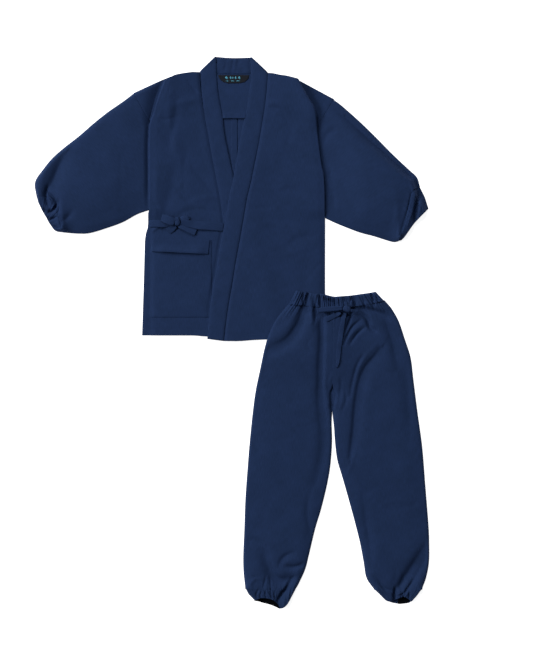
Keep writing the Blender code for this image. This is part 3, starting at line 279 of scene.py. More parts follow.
# Each crease, in millimetres: x and y of the points of its line, its rise, and how far it slopes to its
# left and right.
CREASES_FRONT_RIGHT = (
    ((-6, 462), (-17, 405), (-30, 331), (-39, 285), (-47, 239), (-56, 185), (-66, 128), (-74, 63),
     -5, 3, 3.5),
    ((-182, 690), (-182, 633), (-171, 576), (-160, 527), 3, 20, 12),
    ((-131, 735), (-120, 721), (-103, 707), (-86, 704), -2.4, 5, 5),
    ((-80, 678), (-125, 681), (-171, 667), 1.4, 9, 9),
    ((-217, 630), (-194, 627), (-160, 636), -1.2, 5, 5),
    ((-162, 690), (-165, 641), (-174, 599), (-188, 541), -3.2, 12, 14),
    ((-83, 470), (-108, 479), (-125, 499), -0.8, 8, 8),
    ((-114, 482), (-88, 456), (-74, 436), (-54, 413), -3, 9, 7),
    ((-214, 499), (-222, 442), (-217, 365), 1, 14, 12),
    ((-171, 479), (-177, 433), (-188, 393), (-197, 348), -6, 17, 15),
    ((-142, 445), (-145, 433), (-137, 425), -1.6, 5, 5),
    ((-168, 436), (-142, 408), (-114, 385), -3, 8, 8),
    ((-154, 376), (-97, 402), (-46, 408), 1.2, 8, 8),
    ((-165, 353), (-108, 373), (-40, 362), -1.4, 6, 6),
    ((-248, 296), (-228, 311), (-214, 321), (-197, 325), 2.4, 8, 2.2),
    ((-134, 541), (-142, 499), (-142, 462), -1, 8, 8),
    ((-74, 599), (-80, 541), (-66, 484), 0.7, 9, 9),
    ((-239, 399), (-222, 382), (-211, 359), -1.6, 6, 6),
)
CREASES_FRONT_LEFT = (
    ((94, 675), (125, 673), (151, 647), 2, 9, 8),
    ((103, 661), (134, 655), (154, 616), -2.2, 6, 6),
    ((157, 633), (162, 593), (148, 556), -1.4, 12, 10),
    ((191, 627), (217, 616), (234, 621), -0.7, 6, 6),
    ((137, 427), (165, 430), (202, 419), -1.4, 8, 8),
    ((80, 439), (108, 427), (142, 439), 0.7, 9, 9),
    ((40, 388), (68, 376), (108, 379), -1.3, 7, 7),
    ((63, 331), (103, 333), (142, 325), 0.7, 10, 10),
    ((148, 268), (188, 291), (234, 299), -1.5, 8, 8),
    ((142, 239), (188, 257), (228, 268), 0.9, 12, 10),
    ((211, 257), (205, 185), (194, 114), -0.9, 16, 14),
    ((222, 194), (239, 211), (254, 222), -1, 6, 6),
    ((86, 541), (97, 524), (108, 502), -0.6, 7, 7),
)
CREASES_SLEEVE_RIGHT = (
    ((-479, 524), (-494, 496), (-507, 467), (-519, 439), (-530, 413), -10, 24, 13),
    ((-524, 496), (-541, 462), (-551, 422), 2, 8, 8),
    ((-302, 675), (-393, 613), (-490, 519), -1.5, 9, 11),
    ((-473, 336), (-410, 325), (-268, 368), 0.7, 9, 9),
    ((-467, 462), (-410, 439), (-325, 445), 0.8, 24, 24),
    ((-319, 541), (-322, 470), (-319, 399), -0.6, 9, 9),
    ((-388, 359), (-359, 365), (-336, 382), -0.6, 6, 6),
    ((-459, 365), (-470, 351), (-490, 333), -4, 9, 9),
)
CREASES_SLEEVE_LEFT = (
    ((316, 636), (365, 596), (430, 546), (482, 499), (504, 465), -9, 4.5, 18),
    ((291, 604), (268, 587), (251, 561), -2.6, 9, 9),
    ((262, 513), (271, 473), (285, 439), -1.8, 9, 9),
    ((271, 439), (282, 410), (285, 376), -1.8, 8, 8),
    ((302, 541), (331, 484), (336, 410), 0.8, 20, 20),
    ((510, 427), (507, 388), (496, 336), 1.5, 5, 4),
    ((462, 410), (462, 356), (447, 314), 0.9, 8, 8),
    ((336, 325), (393, 308), (450, 296), 0.6, 8, 8),
)
CREASES_CUFF_RIGHT = (
    ((-527, 436), (-534, 413), (-530, 393), (-520, 370), -9, 4, 6),
    ((-530, 408), (-522, 393), (-519, 379), 2, 2.5, 2.5),
    ((-526, 416), (-514, 405), (-504, 388), (-509, 373), (-524, 362), -12, 4, 4),
    ((-544, 373), (-530, 365), (-513, 365), -8, 4, 4),
    ((-497, 399), (-496, 382), (-497, 362), -4, 3, 4),
    ((-536, 351), (-522, 343), (-504, 348), -8, 4, 3.5),
    ((-519, 328), (-504, 319), (-490, 311), -5, 4, 4),
)
CREASES_CUFF_LEFT = (
    ((504, 427), (496, 382), (470, 294), -2, 3, 3),
    ((516, 422), (510, 382), (493, 325), 3.5, 3, 3),
    ((527, 462), (529, 422), (520, 382), (513, 325), -14, 6, 7),
    ((524, 393), (529, 376), (524, 356), 5, 2.5, 2.5),
    ((547, 422), (544, 393), (536, 359), 2, 6, 6),
)
CREASES_WAIST = (
    ((-66, 345), (-71, 322), (-71, 294), -12, 6, 7),
    ((-80, 339), (-83, 322), (-80, 302), -6, 4, 4),
    ((-37, 342), (-34, 316), (-34, 291), -11, 4, 4),
    ((-26, 328), (-17, 319), (-6, 311), -10, 6, 6),
    ((-6, 319), (3, 311), (14, 299), -10, 7, 7),
    ((26, 336), (34, 325), (46, 314), -9, 5, 5),
    ((48, 339), (54, 328), (51, 311), -5, 3, 3),
    ((54, 336), (63, 319), (68, 296), -13, 6, 6),
    ((108, 348), (114, 328), (120, 305), -8, 4, 4),
    ((125, 345), (128, 325), (134, 311), -5, 3, 3),
    ((-117, 328), (-117, 319), (-114, 308), -11, 6, 6),
    ((-86, 302), (-74, 291), (-63, 282), -9, 6, 6),
    ((-54, 319), (-48, 302), (-43, 268), -9, 7, 7),
    ((86, 325), (91, 314), (94, 299), -4, 3, 3),
)
CREASES_ANKLE_RIGHT = (
    ((-208, -502), (-215, -516), (-214, -530), -3, 3, 3),
    ((-200, -507), (-204, -522), (-202, -533), -2.8, 2.4, 2.4),
    ((-188, -504), (-190, -519), (-185, -536), -2.5, 2.4, 2),
    ((-175, -499), (-174, -516), (-172, -533), -3.5, 2.6, 2.6),
    ((-162, -507), (-164, -522), (-162, -539), -2.6, 2.4, 2.4),
    ((-114, -473), (-128, -499), (-142, -516), (-157, -541), -11, 9, 5),
    ((-117, -502), (-128, -524), (-137, -547), 1, 6, 6),
)
CREASES_ANKLE_LEFT = (
    ((180, -502), (178, -522), (177, -544), -12, 5, 5),
    ((231, -479), (211, -507), (194, -519), -5, 4, 4),
    ((208, -502), (200, -513), (182, -519), 2, 3, 3),
    ((200, -513), (202, -524), (205, -539), -4, 2.5, 2.5),
    ((219, -507), (219, -522), (217, -536), -4, 2.5, 2.5),
    ((134, -502), (145, -513), (160, -527), -3.5, 3, 3),
)
CREASES_LEG_RIGHT = (
    ((-29, 331), (-30, 285), (-31, 234), -5, 4, 13),
    ((-182, -462), (-154, -476), (-120, -470), -4.5, 12, 14),
    ((-80, 319), (-83, 285), (-91, 254), (-111, 219), (-134, 197), (-188, 171), -13, 16, 12),
    ((-103, 302), (-117, 262), (-142, 231), (-188, 205), 1, 9, 10),
    ((-68, 268), (-83, 234), (-114, 194), 0.6, 8, 8),
    ((-77, 308), (-68, 288), (-63, 262), -5, 4, 6),
    ((-68, 302), (-63, 274), (-60, 245), 4.5, 11, 9),
    ((-51, 308), (-48, 285), (-48, 257), -4, 3, 6),
    ((-40, 276), (-17, 276), (11, 276), -9, 5, 4),
    ((-24, 319), (-26, 205), (-29, 120), (-29, 40), (-21, -34), -12, 5.5, 12),
    ((-29, 57), (-23, -34), (-24, -97), (-33, -154), (-48, -205), -6.5, 12, 16),
    ((-63, 177), (-71, 194), (-60, 211), -1, 5, 6),
    ((-6, 114), (-14, 86), (-9, 57), -1.2, 5, 5),
    ((-66, -239), (-71, -285), (-63, -342), -3, 12, 9),
    ((-245, -365), (-217, -365), (-194, -382), (-177, -410), -2.4, 9, 9),
    ((-234, -467), (-217, -470), (-200, -484), -2, 5, 5),
    ((-234, -493), (-222, -476), (-202, -473), 1.6, 4, 4),
    ((-197, -399), (-182, -436), (-162, -470), (-140, -482), (-114, -470), -9, 12, 17),
    ((-151, -439), (-145, -422), (-131, -408), (-111, -399), -4, 7, 9),
    ((-131, -439), (-114, -440), (-100, -439), (-83, -433), -6.5, 7, 7),
    ((-131, -425), (-114, -419), (-94, -422), 1, 6, 6),
    ((-177, -251), (-200, -308), (-217, -336), -0.8, 14, 14),
    ((-211, 86), (-211, 34), (-217, -23), -0.9, 10, 10),
    ((-134, 48), (-114, -37), (-125, -137), 0.7, 24, 24),
    ((-200, -507), (-194, -490), (-188, -467), -2.5, 3, 3),
    ((-177, -513), (-174, -496), (-177, -473), -2.5, 3, 3),
)
CREASES_LEG_LEFT = (
    ((51, 299), (91, 294), (125, 285), (160, 271), -13, 7, 9),
    ((6, 276), (29, 279), (57, 279), -9, 5, 5),
    ((151, 274), (160, 239), (174, 200), (180, 165), (188, 123), -5.5, 20, 12),
    ((63, 296), (83, 282), (100, 265), (108, 242), (123, 231), -11, 6, 6),
    ((80, 262), (57, 242), (43, 217), (34, 194), -5, 3.5, 3.5),
    ((94, 242), (71, 222), (51, 194), -4.5, 3.5, 3.5),
    ((86, 251), (60, 228), (40, 200), 1.8, 3.2, 3.2),
    ((57, 285), (48, 257), (37, 228), -6, 3.5, 3.5),
    ((137, 180), (120, 157), (100, 134), (84, 100), (74, 57), (67, 6), (61, -57), (51, -131), -8, 18, 7),
    ((125, 191), (103, 168), (83, 142), (66, 103), (57, 57), 1.6, 5, 6),
    ((86, 160), (71, 131), (60, 91), (51, 46), -4, 5, 5),
    ((37, 63), (40, 34), (29, 6), -2.4, 5, 5),
    ((26, 97), (23, 48), (14, 6), -2, 5, 5),
    ((14, 103), (17, 74), (11, 46), 0.6, 5, 5),
    ((68, -103), (60, -137), (43, -177), 1.4, 6, 6),
    ((208, 131), (219, 34), (222, -63), -3, 10, 18),
    ((86, -237), (97, -308), (107, -379), (111, -439), -3.2, 14, 9),
    ((251, -251), (222, -268), (182, -276), -0.8, 8, 8),
    ((148, -262), (182, -251), (222, -257), 0.8, 8, 8),
    ((274, -379), (248, -416), (219, -456), (182, -504), -10, 22, 14),
    ((262, -416), (248, -450), (231, -479), (217, -502), -3.5, 9, 8),
    ((205, -467), (200, -484), (188, -502), -4, 7, 6),
    ((131, -479), (148, -499), (171, -510), -5, 5, 6),
    ((177, -439), (182, -462), (171, -490), -1.2, 7, 7),
)


def ease(share):
    """Goes from 0 to 1 with level ends, as 3t^2 - 2t^3."""
    share = np.clip(share, 0, 1)
    return share * share * (3 - 2 * share)


def quarter(share):
    """A quarter of an ellipse from 0 to 1: it leaves the edge upright and arrives level."""
    return np.sqrt(1 - (1 - np.clip(share, 0, 1)) ** 2)


def sine(share):
    """Goes from 0 to 1 as the first quarter of a sine."""
    return np.sin(0.5 * math.pi * np.clip(share, 0, 1))


def bell(distance, width):
    """Falls off on both sides as e to the minus square of distance over width."""
    return np.exp(-((distance / width) ** 2))


def signed_power(value, power):
    """A value's size raised to a power, with its sign kept."""
    return np.sign(value) * np.abs(value) ** power


def smooth_line(points, steps=10):
    """A smooth line through a few points: a Catmull-Rom cubic between each two, in short straight steps."""
    points = np.array(points, float)
    ends = np.vstack([2 * points[0] - points[1], points, 2 * points[-1] - points[-2]])
    time = np.linspace(0, 1, steps, endpoint=False)[:, None]
    runs = []
    for before, start, end, after in zip(ends, ends[1:], ends[2:], ends[3:]):
        cubic = 3 * (start - end) + after - before
        square = 2 * before - 5 * start + 4 * end - after
        runs.append(start + 0.5 * time * (end - before + time * (square + time * cubic)))
    return np.vstack(runs + [points[-1:]])


def lengths(line):
    """How far along a line each of its points is."""
    return np.concatenate([[0], np.cumsum(np.linalg.norm(np.diff(line, axis=0), axis=1))])


def along(line, at):
    """The points at these shares of a line's length."""
    line = np.asarray(line, float)
    gone = lengths(line)
    return np.stack([np.interp(np.asarray(at) * gone[-1], gone, axis) for axis in line.T], axis=1)


def directions(line):
    """The unit direction of a flat line at each of its points, and the same turned left by a quarter turn."""
    run = np.gradient(np.asarray(line, float), axis=0)
    run /= np.linalg.norm(run, axis=1, keepdims=True)
    return run, np.stack([-run[:, 1], run[:, 0]], axis=1)


def beside(line, distance):
    """The same line moved to its left by a distance."""
    return np.asarray(line, float) + distance * directions(line)[1]


def patch(left, right, top, bottom, across, down):
    """A grid between four edge lines that share their corners.

    It is the straight blend of the left and right edges, plus that of the top and bottom ones, less that of
    the four corners.
    """
    u = np.asarray(across)[None, :, None]
    v = np.asarray(down)[:, None, None]
    left, right = along(left, down)[:, None], along(right, down)[:, None]
    ends = along(np.asarray(top), (0, 1)), along(np.asarray(bottom), (0, 1))
    top, bottom = along(top, across)[None], along(bottom, across)[None]
    corners = (1 - v) * ((1 - u) * ends[0][0] + u * ends[0][1]) + v * ((1 - u) * ends[1][0] + u * ends[1][1])
    return (1 - u) * left + u * right + (1 - v) * top + v * bottom - corners


def four_sided(corners, across, down):
    """A grid in a straight-sided shape, whose corners go from the upper left one round by the right."""
    corners = np.array(corners)
    return patch(corners[[0, 3]], corners[[1, 2]], corners[:2], corners[[3, 2]], across, down)


def box(left, right, low, high):
    """The corners of a rectangle, from the upper left one round by the right."""
    return (left, high), (right, high), (right, low), (left, low)


def from_column(grid, column):
    """How far each point of a grid is from the point of its row in one column."""
    return np.linalg.norm(grid - grid[:, column, None], axis=2)


def shares(count, length, rim=0.0009):
    """Even shares from 0 to 1, with one more just inside each end, where the cloth's edge rounds off."""
    return np.concatenate([[0, rim / length], np.linspace(0, 1, count)[1:-1], [1 - rim / length, 1]])


def creases(points, table):
    """Height of the creases at some points of the floor.

    Each crease is a bent line. Its height falls off beside the line as exp(-(d/w)^p), with its own w on
    each side, and along the line as the sine of a tenth to nine tenths of half a turn. A ridge is round, with
    p = 2, and a valley is a little pinched, with p = 1.7.
    """
    height = np.zeros(points.shape[:-1])
    for *spots, rise, to_left, to_right in table:
        steps = 4 * len(spots)
        line = along(smooth_line(np.array(spots) / MM_PER_M), np.linspace(0, 1, steps + 1))
        nearest = np.full(height.shape, np.inf)
        signed = np.zeros(height.shape)
        share = np.zeros(height.shape)
        for step, (tail, head) in enumerate(zip(line, line[1:])):
            run = head - tail
            time = np.clip(((points - tail) @ run) / (run @ run), 0, 1)
            away = points - tail - time[..., None] * run
            distance = np.linalg.norm(away, axis=-1)
            side = np.sign(run[0] * away[..., 1] - run[1] * away[..., 0])
            closer = distance < nearest
            nearest = np.where(closer, distance, nearest)
            signed = np.where(closer, side * distance, signed)
            share = np.where(closer, (step + time) / steps, share)
        width = np.where(signed > 0, to_left, to_right) / MM_PER_M
        power = 2.0 if rise > 0 else 1.7
        profile = np.exp(-(np.abs(signed / width) ** power))
        height += rise / MM_PER_M * profile * np.sin(math.pi * (0.10 + 0.80 * share)) ** 0.8
    return height


def unevenness(points, height, size, phase):
    """The slight waves of cloth smoothed by hand: three sines of unlike directions and lengths, added."""
    x, y = points[..., 0] / size, points[..., 1] / size
    waves = np.sin(1.9 * x + 0.7 * y + phase) + 0.8 * np.sin(-1.1 * x + 2.3 * y + 2.1 * phase)
    waves += 0.6 * np.sin(3.1 * x - 2.7 * y + 0.7 * phase + 1.3 * np.sin(1.3 * y + phase))
    return height * waves / 2.4


def stand(grid, height):
    """A flat grid of points lifted to a height."""
    return np.concatenate([grid, np.broadcast_to(height, grid.shape[:2])[..., None]], axis=2)


def quads(grid):
    """The four corners of each cell in a grid of point numbers."""
    return np.stack([grid[:-1, :-1], grid[1:, :-1], grid[1:, 1:], grid[:-1, 1:]], axis=-1).reshape(-1, 4)


def tube(index):
    """Faces round a closed tube, whose rings are the rows of a grid of point numbers, and over its ends."""
    faces = [quads(np.hstack([index, index[:, :1]]))]
    half = index.shape[1] // 2
    for row in (index[0], index[-1]):
        back = row[::-1]
        faces.append(np.stack([row[:half - 1], row[1:half], back[1:half], back[:half - 1]], axis=1))
    return np.concatenate(faces)


def wall(outer, inner, grain=0.0, ring=False, weave=None):
    """The closed shell between a face and a back grid, its rims drawn in to a share of the cloth's thickness.

    A ring joins its last column to its first. The UV map is in metres along the threads: a turned copy of the
    point's place on the floor, or the grid given as weave.
    """
    outer, inner = outer.copy(), inner.copy()
    edges = [np.s_[0], np.s_[-1]] + ([] if ring else [np.s_[:, 0], np.s_[:, -1]])
    for edge in edges:
        middle = (outer[edge] + inner[edge]) / 2
        outer[edge] = middle + RIM_SHARE * (outer[edge] - middle)
        inner[edge] = middle + RIM_SHARE * (inner[edge] - middle)
    rows, columns = outer.shape[:2]
    over = np.arange(rows * columns).reshape(rows, columns)
    if ring:
        over = np.hstack([over, over[:, :1]])
    under = over + rows * columns
    faces = [quads(over), quads(under)[:, ::-1]]
    for edge in edges:
        faces.append(np.stack([over[edge][:-1], over[edge][1:], under[edge][1:], under[edge][:-1]], axis=-1))
    points = np.concatenate([outer.reshape(-1, 3), inner.reshape(-1, 3)])
    if weave is None:
        turn = math.radians(grain)
        across = points[:, 0] * math.cos(turn) + points[:, 1] * math.sin(turn)
        weave = np.stack([across, points[:, 1] * math.cos(turn) - points[:, 0] * math.sin(turn)], axis=1)
    else:
        weave = np.concatenate([weave.reshape(-1, 2)] * 2)
    return points, np.concatenate(faces), weave


def add_piece(name, parts, at, cloth, nodes=()):
    """One object from closed shells of points, faces and UV map. Its faces are turned outwards."""
    points, faces, weave, start = [], [], [], 0
    for some_points, some_faces, some_weave in parts:
        points.append(some_points + (*at, 0))
        faces.append(some_faces + start)
        weave.append(some_weave)
        start += len(some_points)
    points, faces, weave = np.concatenate(points), np.concatenate(faces), np.concatenate(weave)
    mesh = bpy.data.meshes.new(name)
    mesh.from_pydata(points, [], faces)
    threads = mesh.uv_layers.new(name="threads")
    threads.data.foreach_set("uv", weave[faces.reshape(-1)].astype(np.float32).ravel())
    cage = bmesh.new()
    cage.from_mesh(mesh)
    bmesh.ops.recalc_face_normals(cage, faces=cage.faces)
    cage.to_mesh(mesh)
    cage.free()
    mesh.materials.append(cloth)
    mesh.shade_smooth()
    piece = bpy.data.objects.new(name, mesh)
    bpy.context.scene.collection.objects.link(piece)
    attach(piece, "root")
    if nodes:
        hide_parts(*nodes)
    return piece


def add_cloth(node, parts, at, cloth):
    """The piece of cotton that replaces one node. It takes the node's name, less the jacket's."""
    return add_piece("cloth_" + node.removeprefix("jacket_"), parts, at, cloth, (node,))


def thread(line, pitch=0.0031, gap=0.0006, size=0.00023):
    """A row of stitches along a line: each a four-sided grain, thick at its middle and sunk at its ends."""
    length = lengths(line)[-1]
    count = max(int(length / pitch), 1)
    first = np.arange(count) * pitch
    tail = along(line, np.clip((first + gap / 2) / length, 0, 1))
    head = along(line, np.clip((first + pitch - gap / 2) / length, 0, 1))
    run = head - tail
    run /= np.linalg.norm(run, axis=1, keepdims=True) + 1e-12
    sideways = np.stack([-run[:, 1], run[:, 0], np.zeros(count)], axis=1)
    up = np.array((0, 0, 1.0))
    ways = (sideways, up, -sideways, -up)
    rings = []
    for share, swell, lift in ((0.0, 0.35, -0.0002), (0.3, 1.0, 0.0), (0.7, 1.0, 0.0), (1.0, 0.35, -0.0002)):
        centre = tail + share * (head - tail) + lift * up
        rings.append(np.stack([centre + size * swell * way for way in ways], axis=1))
    points = np.stack(rings, axis=1).reshape(-1, 3)
    grain = tube(np.arange(16).reshape(4, 4))
    faces = (grain[None] + 16 * np.arange(count)[:, None, None]).reshape(-1, 4)
    return points, faces, points[:, :2]


def lane(grid, at, side, inset):
    """The line on a grid's face that runs beside one of its edges, at a real distance from it.

    side is left, right, top or bottom. The distance is laid off along the rows or columns that leave it.
    """
    turned = grid if side in ("left", "right") else grid.transpose(1, 0, 2)
    if side in ("right", "bottom"):
        turned = turned[:, ::-1]
    steps = np.linalg.norm(np.diff(turned, axis=1), axis=2)
    gone = np.concatenate([np.zeros((len(turned), 1)), np.cumsum(steps, axis=1)], axis=1)
    after = np.clip((gone < inset).sum(axis=1), 1, turned.shape[1] - 1)
    rows = np.arange(len(turned))
    before = after - 1
    share = (inset - gone[rows, before]) / (gone[rows, after] - gone[rows, before] + 1e-9)
    line = turned[rows, before] + np.clip(share, 0, 1)[:, None] * (turned[rows, after] - turned[rows, before])
    first, last = (round(len(line) * part) for part in at)
    return line[first:max(last, first + 2)] + (0, 0, 0.0001)


def strap(table, thick=0.0019, steps=40, sides=14):
    """A flat strip of doubled cloth along a smooth line: a closed tube with a superellipse as its section.

    The table's columns are x, y, height of its middle, width and tilt in degrees, tilt turning the section
    about the way it runs. Its ends are drawn in to 0.8 of its section.
    """
    line = along(smooth_line(table), np.linspace(0, 1, steps))
    centre, width, tilt = line[:, :3], line[:, 3], np.radians(line[:, 4])
    run = np.gradient(centre, axis=0)
    run /= np.linalg.norm(run, axis=1, keepdims=True)
    level = np.stack([-run[:, 1], run[:, 0], np.zeros(len(run))], axis=1)
    level /= np.linalg.norm(level, axis=1, keepdims=True)
    upright = np.cross(run, level)
    sideways = np.cos(tilt)[:, None] * level + np.sin(tilt)[:, None] * upright
    upward = np.cross(sideways, -run)
    upward *= np.sign(np.sum(upward * upright, axis=1) + 1e-9)[:, None] * np.sign(np.cos(tilt))[:, None]
    angle = np.linspace(0, 2 * math.pi, sides, endpoint=False) + math.pi / sides
    flat, tall = signed_power(np.cos(angle), 0.35), signed_power(np.sin(angle), 0.8)
    ends = np.ones(steps)
    ends[[0, -1]] = 0.80
    ring = centre[:, None] + 0.5 * (width * ends)[:, None, None] * flat[None, :, None] * sideways[:, None]
    ring = ring + 0.5 * thick * ends[:, None, None] * tall[None, :, None] * upward[:, None]
    gone = lengths(centre)[:, None]
    weave = np.stack(np.broadcast_arrays(0.5 * width[:, None] * flat[None], gone), axis=-1)
    return ring.reshape(-1, 3), tube(np.arange(steps * sides).reshape(steps, sides)), weave.reshape(-1, 2)


def wrapped_knot(place, size, turn, wraps):
    """A tied knot: a flat superellipsoid, pressed in along the edges of the strip that is wound round it.

    A point's two angles give its place on the form. Each wrap presses it in along a slanting line, by its
    depth times a bell across that line, and less on the underside.
    """
    rows, columns, power = 23, 36, 0.72
    climb = np.linspace(-0.5 * math.pi, 0.5 * math.pi, rows + 2)[1:-1, None]
    round_it = np.linspace(0, 2 * math.pi, columns, endpoint=False)[None]
    reach = np.abs(np.cos(climb)) ** power
    x, y = reach * signed_power(np.cos(round_it), power), reach * signed_power(np.sin(round_it), power)
    z = signed_power(np.sin(climb), 0.85) * np.ones_like(round_it)
    skin = np.stack([x, y, z], axis=-1)
    for where, depth, width in wraps:
        dent = depth * bell(x + 0.35 * y - where, width) * ease((z + 0.6) / 0.8)
        skin = skin * (1 - dent[..., None])
    skin = skin * np.array(size) / 2
    cosine, sine_of_turn = math.cos(math.radians(turn)), math.sin(math.radians(turn))
    spin = np.array(((cosine, -sine_of_turn, 0), (sine_of_turn, cosine, 0), (0, 0, 1)))
    points = (skin @ spin.T + np.array(place)).reshape(-1, 3)
    return points, tube(np.arange(rows * columns).reshape(rows, columns)), points[:, :2]


def near(line, points):
    """How far some points of the floor are from a line."""
    distance = np.full(points.shape[:-1], np.inf)
    for tail, head in zip(line, line[1:]):
        run = head - tail
        time = np.clip(((points - tail) @ run) / (run @ run + 1e-12), 0, 1)
        distance = np.minimum(distance, np.linalg.norm(points - tail - time[..., None] * run, axis=-1))
    return distance


def gathers(share, count, phase):
    """Uneven gathers that rise over a third of their length and fall over the rest.

    Their length and height change along the seam by slower sines.
    """
    warped = share + 0.018 * np.sin(9.0 * share + phase) + 0.008 * np.sin(23.0 * share + 2 * phase)
    gone = (count * warped) % 1
    wave = ease(gone / 0.35) - ease((gone - 0.35) / 0.65)
    return wave * (0.62 + 0.38 * np.sin(14.0 * share + phase))


def kept_up(height, least=0.0030):
    """A height that doesn't go through its bed: under 3 mm it evens out to nothing, as h0 e^(h / h0 - 1)."""
    return np.where(height < least, least * np.exp(np.minimum(height, least) / least - 1), height)


def waist_gathers(share):
    """Height of the elastic's gathers along the waist seam, the same above it and below it."""
    return 0.0028 * gathers(share, 17, 0.6) + 0.0028 * gathers(share, 39, 1.9)


def ankle_gathers(share, count):
    """Height of the gathers along an ankle's seam, the same above it and below it."""
    return 0.0019 * gathers(share, count, 2.1) + 0.0009 * gathers(share, 2.4 * count, 0.8)


def cuff_gathers(share, count):
    """Height of the gathers along a cuff's seam, the same on both sides of it."""
    return 0.0017 * gathers(share, count, 1.3) + 0.0008 * gathers(share, 2.3 * count, 0.4)


def bed_of(face):
    """A function for a finished face's height at other points, from the three nearest of its own points."""
    cloud = face.reshape(-1, 3)

    def height(grid):
        spots = grid.reshape(-1, 2)
        low, high = spots.min(axis=0) - 0.01, spots.max(axis=0) + 0.01
        close = cloud[((cloud[:, :2] > low) & (cloud[:, :2] < high)).all(axis=1)]
        result = np.empty(len(spots))
        for start in range(0, len(spots), 400):
            part = spots[start:start + 400]
            gap = ((part[:, None] - close[None, :, :2]) ** 2).sum(axis=2)
            nearest = np.argpartition(gap, 3, axis=1)[:, :3]
            weight = 1 / (np.take_along_axis(gap, nearest, axis=1) + 1e-9)
            result[start:start + 400] = (close[nearest, 2] * weight).sum(axis=1) / weight.sum(axis=1)
        return result.reshape(grid.shape[:-1])

    return height


def folded(lines, down, low, high, floor, rise, ring=True, back=None):
    """Face and back grids of a flattened tube: a lower layer, half an ellipse round its edge, an upper layer.

    lines are its left, right, top and bottom edges, low and high the columns of its two layers. A ring turns
    at both edges; any other piece is folded at its left edge only and open at the right. back is the lower
    layer's own bottom edge, where it reaches further than the upper one.
    """
    left, right, top, bottom = lines
    under = patch(left, right, top, bottom if back is None else back, low[::-1], down)
    over = patch(left, right, top, bottom, high, down)
    ledge = floor(over) + LAYER + rise(over)
    outer = [stand(under, floor(under)), stand(over, ledge + CLOTH)]
    inner = [stand(under, floor(under) + CLOTH), stand(over, ledge)]
    angles = np.linspace(-0.5 * math.pi, 0.5 * math.pi, 9)[1:-1]
    turns = [(0, 1, 1, angles)]
    if ring:
        turns.append((-1, -2, 3, angles[::-1]))
    for column, inside, place, turn in turns:
        out = over[:, column] - over[:, inside]
        out /= np.linalg.norm(out, axis=1, keepdims=True)
        base, crest = floor(over)[:, column], ledge[:, column] + CLOTH
        middle, tall = (base + crest) / 2, (crest - base) / 2
        for grids, less in ((outer, 0.0), (inner, CLOTH)):
            reach = max(0.0016 - less, 0.0003)
            spots = over[:, column, None] + out[:, None] * reach * np.cos(turn)[None, :, None]
            grids.insert(place, stand(spots, middle[:, None] + (tall[:, None] - less) * np.sin(turn)[None]))
    return np.hstack(outer), np.hstack(inner), stand(over, ledge + CLOTH)


def jacket_back(side, cloth):
    """Half of the back, flat on the floor, from the centre seam to the armhole and the vent."""
    if side == RIGHT:
        shoulder, point, hole, vent = SHOULDER_RIGHT, POINT_RIGHT, ARMHOLE_RIGHT, VENT_RIGHT
        hem, neck_shares = 0.0125, np.linspace(0.52, 0.02, 8)
    else:
        shoulder, point, hole, vent = SHOULDER_LEFT, POINT_LEFT, ARMHOLE_LEFT, VENT_LEFT
        hem, neck_shares = 0.0060, np.linspace(0.60, 0.98, 8)
    neck = along(smooth_line(NECK_SEAM), neck_shares) - (0, SEAM)
    centre, collar_line = CENTRE_BACK + side * SEAM / 2, JACKET_LENGTH - SEAM
    hole = np.array(hole) + (side * 2 * SEAM, 0)
    top = np.vstack([[(centre, collar_line)], neck, shoulder[::-1], [point]])
    grid = patch(((centre, collar_line), (centre, hem)), np.vstack([[point], hole, vent]), top,
                 ((centre, hem), vent[-1]), shares(28, 0.26), shares(90, 0.75))
    face = stand(grid, CLOTH)
    parts = [wall(face, stand(grid, 0.0)), thread(lane(face, (0, 1), "bottom", 0.010))]
    return add_cloth(f"jacket_back_{SIDE_NAME[side]}", parts, JACKET_AT, cloth)


def centre_back_fell(cloth):
    """The felled centre seam inside the back: a strip with rounded edges and one row of stitches."""
    left, right, _, _ = FELL
    grid = four_sided(box(*FELL), shares(7, 0.0185), shares(150, 0.61))
    rim = np.minimum(grid[..., 0] - left, right - grid[..., 0])
    face = stand(grid, CLOTH + 0.0001 + CLOTH * quarter(rim / 0.0015) + unevenness(grid, 0.00015, 0.010, 4.0))
    parts = [wall(face, stand(grid, CLOTH - 0.0002)), thread(lane(face, (0, 1), "left", 0.0020))]
    return add_piece("cloth_centre_back_fell", parts, JACKET_AT, cloth)


def yoke_lining(cloth):
    """The lining inside the back of the neck. Its lower edge stands up a little between the fronts."""
    low = JACKET_LENGTH - YOKE_DEPTH
    left, right = YOKE_SIDE_RIGHT + ((-0.225, low),), YOKE_SIDE_LEFT + ((0.218, low),)
    neck = along(smooth_line(NECK_SEAM), np.linspace(0.03, 0.97, 9)) - (0, SEAM)
    top = np.vstack([YOKE_TOP_RIGHT, neck, YOKE_TOP_LEFT])
    grid = patch(left, right, top, (left[-1], right[-1]), shares(100, 0.44), shares(46, 0.13))
    x, up = grid[..., 0], grid[..., 1] - low
    between = ease((x + 0.034) / 0.006) * ease((0.038 - x) / 0.006)
    height = LAYER + 0.0036 * between * bell(up, 0.0160) + unevenness(grid, 0.0004, 0.05, 1.0) + 0.0004
    face = stand(grid, height + CLOTH)
    parts = [wall(face, stand(grid, height)), thread(lane(face, (0, 1), "bottom", 0.0105))]
    return add_cloth("jacket_yoke_lining", parts, JACKET_AT, cloth)


